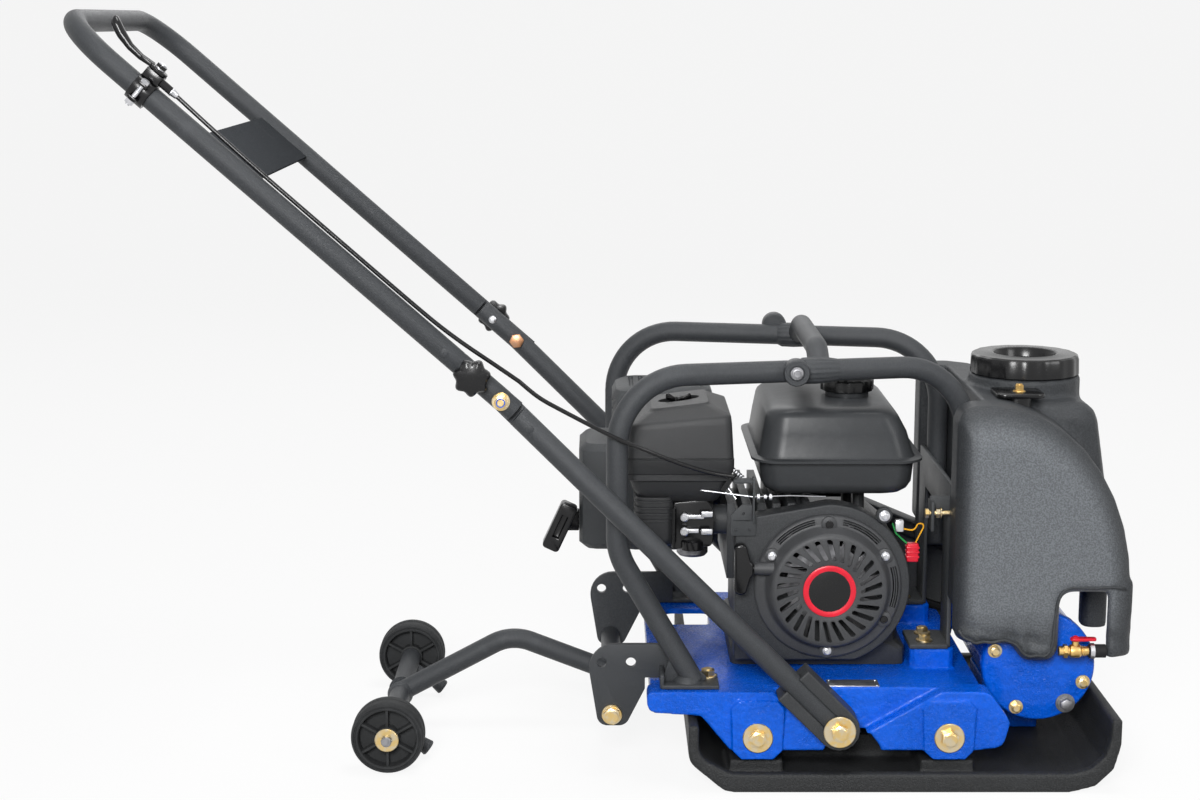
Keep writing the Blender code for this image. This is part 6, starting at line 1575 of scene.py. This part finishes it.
class COMPACTOR_OT_water(bpy.types.Operator):
    """Water tank, cap, bracket, valve and hose"""

    bl_idname = "compactor.water"
    bl_label = "Water tank"

    # The sides' round edge is a quarter of an ellipse
    bend_x, bend_z = 0.100, 0.220
    bend_long, bend_high = 0.167, 0.217
    crinkle, fall_depth = 0.0024, 0.012
    valve_y, valve_z, lever_x = -0.1735, 0.150, 0.2033

    def execute(self, context):
        tank = cast_skin(solid_copy("water_tank"), 0.0026, 14, 0.5)
        self.shape_sides(tank)
        piece(joined([tank] + self.seams()), "water_tank_skin", "water", CHASSIS, 180, ("water_tank",))
        self.cap(context.scene.compactor_shapes.cap_ribs)
        dressed("tank_bracket", "sheet", bevel=0.0010)
        self.bolts()
        self.valve()
        return {"FINISHED"}

    def shape_sides(self, tank):
        """Slopes the sides to their edges, crinkles their lower border and marks the flats of the sides for a
        lighter painted colour: painted light on the lit faces, so that their borders read darker.
        """
        painted_lit_face = tank.data.attributes.new("painted_lit_face", "FLOAT", "POINT")
        for point in tank.data.vertices:
            x, y, z = point.co
            low = clamp((0.200 - z) / 0.030) * clamp((abs(y) - 0.165) / 0.012)
            wave = math.sin(x * 170 + 1.4 * math.sin(x * 90)) + 0.6 * math.sin(z * 260 + x * 60)
            ahead = max(0.0, x - self.bend_x) / self.bend_long
            above = max(0.0, z - self.bend_z) / self.bend_high
            border = min(1 - math.hypot(ahead, above), (x - 0.055) / 0.12)
            fall = clamp(1 - border / 0.19)
            side = clamp((abs(y) - 0.150) / 0.030)
            slope = side * fall * fall * (3 - 2 * fall)
            point.co.y -= math.copysign(self.crinkle * low * (1 + wave) + self.fall_depth * slope, y)
            # The mask of the painted light: full on the flats of the sides, less on their sloped borders and
            # crinkled lower edge
            painted_lit_face.data[point.index].value = (side - slope) * (1 - 0.7 * low) * clamp((x - 0.066) / 0.018)

    def seams(self):
        """The rough ridges along the bottom of the two sides."""
        path = ((0.0660, 0.178), (0.0720, 0.1680), (0.0800, 0.1655), (0.0860, 0.1615), (0.0950, 0.1640),
                (0.1060, 0.1625), (0.1160, 0.1660), (0.1260, 0.1640), (0.1350, 0.1590), (0.1400, 0.1500),
                (0.1490, 0.1450), (0.1580, 0.1480), (0.1660, 0.1455), (0.1730, 0.1520), (0.1755, 0.1640),
                (0.1760, 0.1800), (0.1775, 0.1980), (0.1800, 0.2160), (0.1870, 0.2270), (0.2000, 0.2285),
                (0.2200, 0.2275), (0.2400, 0.2290), (0.2570, 0.2270))
        ridges = []
        for way in WAYS:
            places = [(x, way * (0.1822 - 0.0008 * math.sin(index * 2.1)), z)
                      for index, (x, z) in enumerate(path)]
            ridges.append(flowing(places, 0.0042, 8))
        return ridges

    def cap(self, ribs):
        low, top, rim = 0.4493, 0.4733, 0.0655
        shell = lathe([(0.0560, low), (rim - 0.0014, low), (rim - 0.0004, low + 0.0010),
                       (rim - 0.0010, top - 0.0050), (rim - 0.0022, top - 0.0020),
                       (rim - 0.0050, top - 0.0003), (0.0420, top), (0.0400, top + 0.0006),
                       (0.0376, top), (0.0356, top - 0.0040), (0.0340, top - 0.0102),
                       (0.0300, top - 0.0110)], None, ribs * 8)
        scallop(shell, ribs, 0.0085, 0.058)
        piece(settle(shell, at(0.168, 0, 0)), "water_cap_ribbed", "gloss", "water_cap", 28,
              ("water_cap",))

    def bolts(self):
        """Bracket-foot bolts, the bolts through the bracket, and the lug on the tank's shoulder."""
        feet = [at(x, way * y, 0.1431) for x, y in ((0.040, 0.080), (0.038, 0.110)) for way in WAYS]
        soles = []
        for way in WAYS:
            low, high = span(way, 0.0640, 0.1260)
            soles.append(block((0.0185, low, 0.1374), (0.0640, high, 0.1432), 0.0012, 3))
        piece(joined(soles), "bracket_soles", "sheet", CHASSIS, 30)
        bolted(bolt_head(0.0130, 0.0065, 0.0200, 0.0018), feet, "bracket_bolts")
        tab = block((0.0400, -0.1240, 0.2800), (0.0440, -0.0980, 0.3150), 0.0010, 2)
        brace = block((0.0400, -0.1120, 0.2960), (0.0640, -0.1080, 0.3200), 0.0010, 2)
        piece(joined([tab, brace]), "bracket_tab", "sheet", CHASSIS, 30)
        through = joined([lathe([(0.0030, -0.0040), (0.0030, 0.0240)], None, 20),
                          raised(hexagon(0.0100, 0.0050), -0.0085), raised(hexagon(0.0100, 0.0055), 0.0042),
                          raised(washer(0.0130, 0.0014), 0.0095)])
        piece(settle(through, at(0.0420, -0.1180, 0.3010) @ FACE_FRONT), "bracket_cross_bolt", "yellow",
              CHASSIS, 30)
        lug = plate(rounded([(0.116, -0.112, 0.010), (0.172, -0.112, 0.010), (0.172, -0.060, 0.002),
                             (0.116, -0.060, 0.002)], 5), 0.005, at(0, 0, 0.4385), 0.0012)
        post = lathe([(0.0170, 0.418), (0.0155, 0.437)], at(0.143, -0.090, 0), 32)
        piece(joined([lug, post]), "tank_lug", "gloss", CHASSIS)
        piece(settle(bolt_head(0.0090, 0.0075, 0.0150, 0.0014), at(0.1445, -0.090, 0.4408)),
              "tank_lug_bolt", "brass", CHASSIS, 30)

    def valve(self):
        """Brass tap with a hexagon collar, its lever, hose clip and hose."""
        start_x, end_x, y, z = 0.1843, 0.2183, self.valve_y, self.valve_z
        body = lathe([(0.0056, 0), (0.0056, 0.0118), (0.0076, 0.0130), (0.0080, 0.0150), (0.0080, 0.0230),
                      (0.0074, 0.0244), (0.0056, 0.0262), (0.0062, 0.0270), (0.0056, 0.0284),
                      (0.0062, 0.0292), (0.0056, 0.0306), (0.0056, 0.0340)],
                     at(start_x, y, z) @ FACE_FRONT, 36)
        nut = settle(hexagon(0.0145, 0.0050), at(start_x + 0.0055, y, z) @ FACE_FRONT)
        stem = lathe([(0.0040, 0), (0.0040, 0.0118), (0.0034, 0.0120)], at(self.lever_x, y, z), 24)
        piece(joined([body, nut, stem]), "valve_tap", "brass", CHASSIS, 35, ("water_valve",))
        blade = plate(rounded([(-0.0060, -0.0050, 0.004), (0.0080, -0.0050, 0.002),
                               (0.0240, -0.0040, 0.003), (0.0240, 0.0040, 0.003),
                               (0.0080, 0.0050, 0.002), (-0.0060, 0.0050, 0.004)], 5), 0.0036,
                      at(self.lever_x, y, 0.1643), 0.0010, 3)
        crown = settle(hexagon(0.0060, 0.0028), at(self.lever_x, y, 0.1655))
        piece(joined([blade, crown]), "valve_handle", "red", "valve_lever", 35,
              ("valve_lever",))
        clip = lathe([(0.0074, 0), (0.0092, 0), (0.0092, 0.0050), (0.0074, 0.0050)],
                     at(0.2200, y, z) @ FACE_FRONT, 36)
        piece(clip, "hose_clip", "steel", CHASSIS, 30)
        hose = lathe([(0.0070, 0), (0.0079, 0.0006), (0.0079, 0.0196), (0.0072, 0.0200)],
                     at(end_x + 0.0003, y, z) @ FACE_FRONT, 32)
        piece(hose, "hose_length", "rubber", CHASSIS, 35, ("water_hose",))


class COMPACTOR_OT_cage_fittings(bpy.types.Operator):
    """Foot bolts, gussets and the bolts of the lifting bar"""

    bl_idname = "compactor.cage_fittings"
    bl_label = "Cage fittings"

    def execute(self, context):
        feet, gussets, bosses = [], [], []
        outline = rounded([(-0.2760, -FOOT_TOP, 0.001), (-0.2180, -FOOT_TOP, 0.004),
                           (-0.2560, -FOOT_TOP - 0.032, 0.006), (-0.2660, -FOOT_TOP - 0.034, 0.003)], 4)
        for way in WAYS:
            feet.append(at(-0.2225, way * 0.1705, FOOT_TOP - 0.0002))
            gussets.append(plate(outline, 0.004, at(0, way * 0.1870, 0) @ FACE_LEFT, 0.0008))
            low, high = span(way, 0.160, 0.204)
            gussets.append(block((-0.2790, low, BED_Z + 0.0004),
                                 (-0.2740, high, FOOT_TOP + 0.0120), 0.0016, 3))
            bosses.append(at(COLLAR_X, way * 0.1645, CAGE_TOP + COLLAR_LIFT[way]) @ facing(way))
        bolted(bolt_head(0.0150, 0.0075, 0.0210, 0.0020), feet, "cage_foot_bolts")
        piece(joined(gussets), "cage_gussets", "tube", CHASSIS)
        nut = joined([washer(0.0150, 0.0012), raised(hexagon(0.0110, 0.0042), 0.0010),
                      settle(lathe([(0.0040, 0), (0.0036, 0.0012)], None, 20), at(0, 0, 0.0058))])
        piece(scattered(nut, bosses), "lifting_bar_nuts", "iron", CHASSIS, 30)
        return {"FINISHED"}


class COMPACTOR_OT_rest(bpy.types.Operator):
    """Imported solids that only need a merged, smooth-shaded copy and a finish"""

    bl_idname = "compactor.rest"
    bl_label = "Remaining solids"

    def execute(self, context):
        bodies = frame["record"]["behaviour"]["bodies"]
        owner = {node: body for body, names in bodies.items() for node in names}
        named = {part["node"]: part["material_slot"] for part in frame["record"]["subparts"]}
        looks = {"cast_black": "plate", "blue_paint": "blue", "steel": "iron", "rubber": "rubber",
                 "black_paint": "sheet", "gloss_plastic": "gloss", "black_plastic": "cover",
                 "yellow_zinc": "yellow", "brass": "brass", "red_plastic": "red"}
        for node, thing in NODES.items():
            if not thing.hide_render:
                dressed(node, looks[named[node]], owner[node])
        return {"FINISHED"}


PIECES = (COMPACTOR_OT_studio, COMPACTOR_OT_tubes, COMPACTOR_OT_castings, COMPACTOR_OT_engine,
          COMPACTOR_OT_recoil, COMPACTOR_OT_fuel, COMPACTOR_OT_intake, COMPACTOR_OT_exhaust,
          COMPACTOR_OT_wheels, COMPACTOR_OT_handle_fittings, COMPACTOR_OT_throttle, COMPACTOR_OT_water,
          COMPACTOR_OT_cage_fittings, COMPACTOR_OT_rest)


class COMPACTOR_PT_panel(bpy.types.Panel):
    """Lists the pieces in the sidebar"""

    bl_idname = "COMPACTOR_PT_panel"
    bl_label = "Plate compactor"
    bl_space_type = "VIEW_3D"
    bl_region_type = "UI"
    bl_category = "Compactor"

    def draw(self, context):
        column = self.layout.column(align=True)
        for kind in PIECES:
            column.operator(kind.bl_idname)
        for group in (context.scene.compactor_colours, context.scene.compactor_shapes,
                      context.scene.compactor_studio):
            box = self.layout.box()
            for key in group.bl_rna.properties.keys():
                if key not in ("rna_type", "name"):
                    box.prop(group, key)


GROUPS = (("compactor_colours", CompactorColours), ("compactor_shapes", CompactorShapes),
          ("compactor_studio", CompactorStudio))


def register():
    for name, group in GROUPS:
        bpy.utils.register_class(group)
        setattr(bpy.types.Scene, name, PointerProperty(type=group))
    for kind in PIECES + (COMPACTOR_PT_panel,):
        bpy.utils.register_class(kind)


def unregister():
    for kind in reversed(PIECES + (COMPACTOR_PT_panel,)):
        bpy.utils.unregister_class(kind)
    for name, group in reversed(GROUPS):
        delattr(bpy.types.Scene, name)
        bpy.utils.unregister_class(group)


def main():
    register()
    for kind in PIECES:
        section, name = kind.bl_idname.split(".")
        getattr(getattr(bpy.ops, section), name)()
    start()


if __name__ == "__main__":
    main()
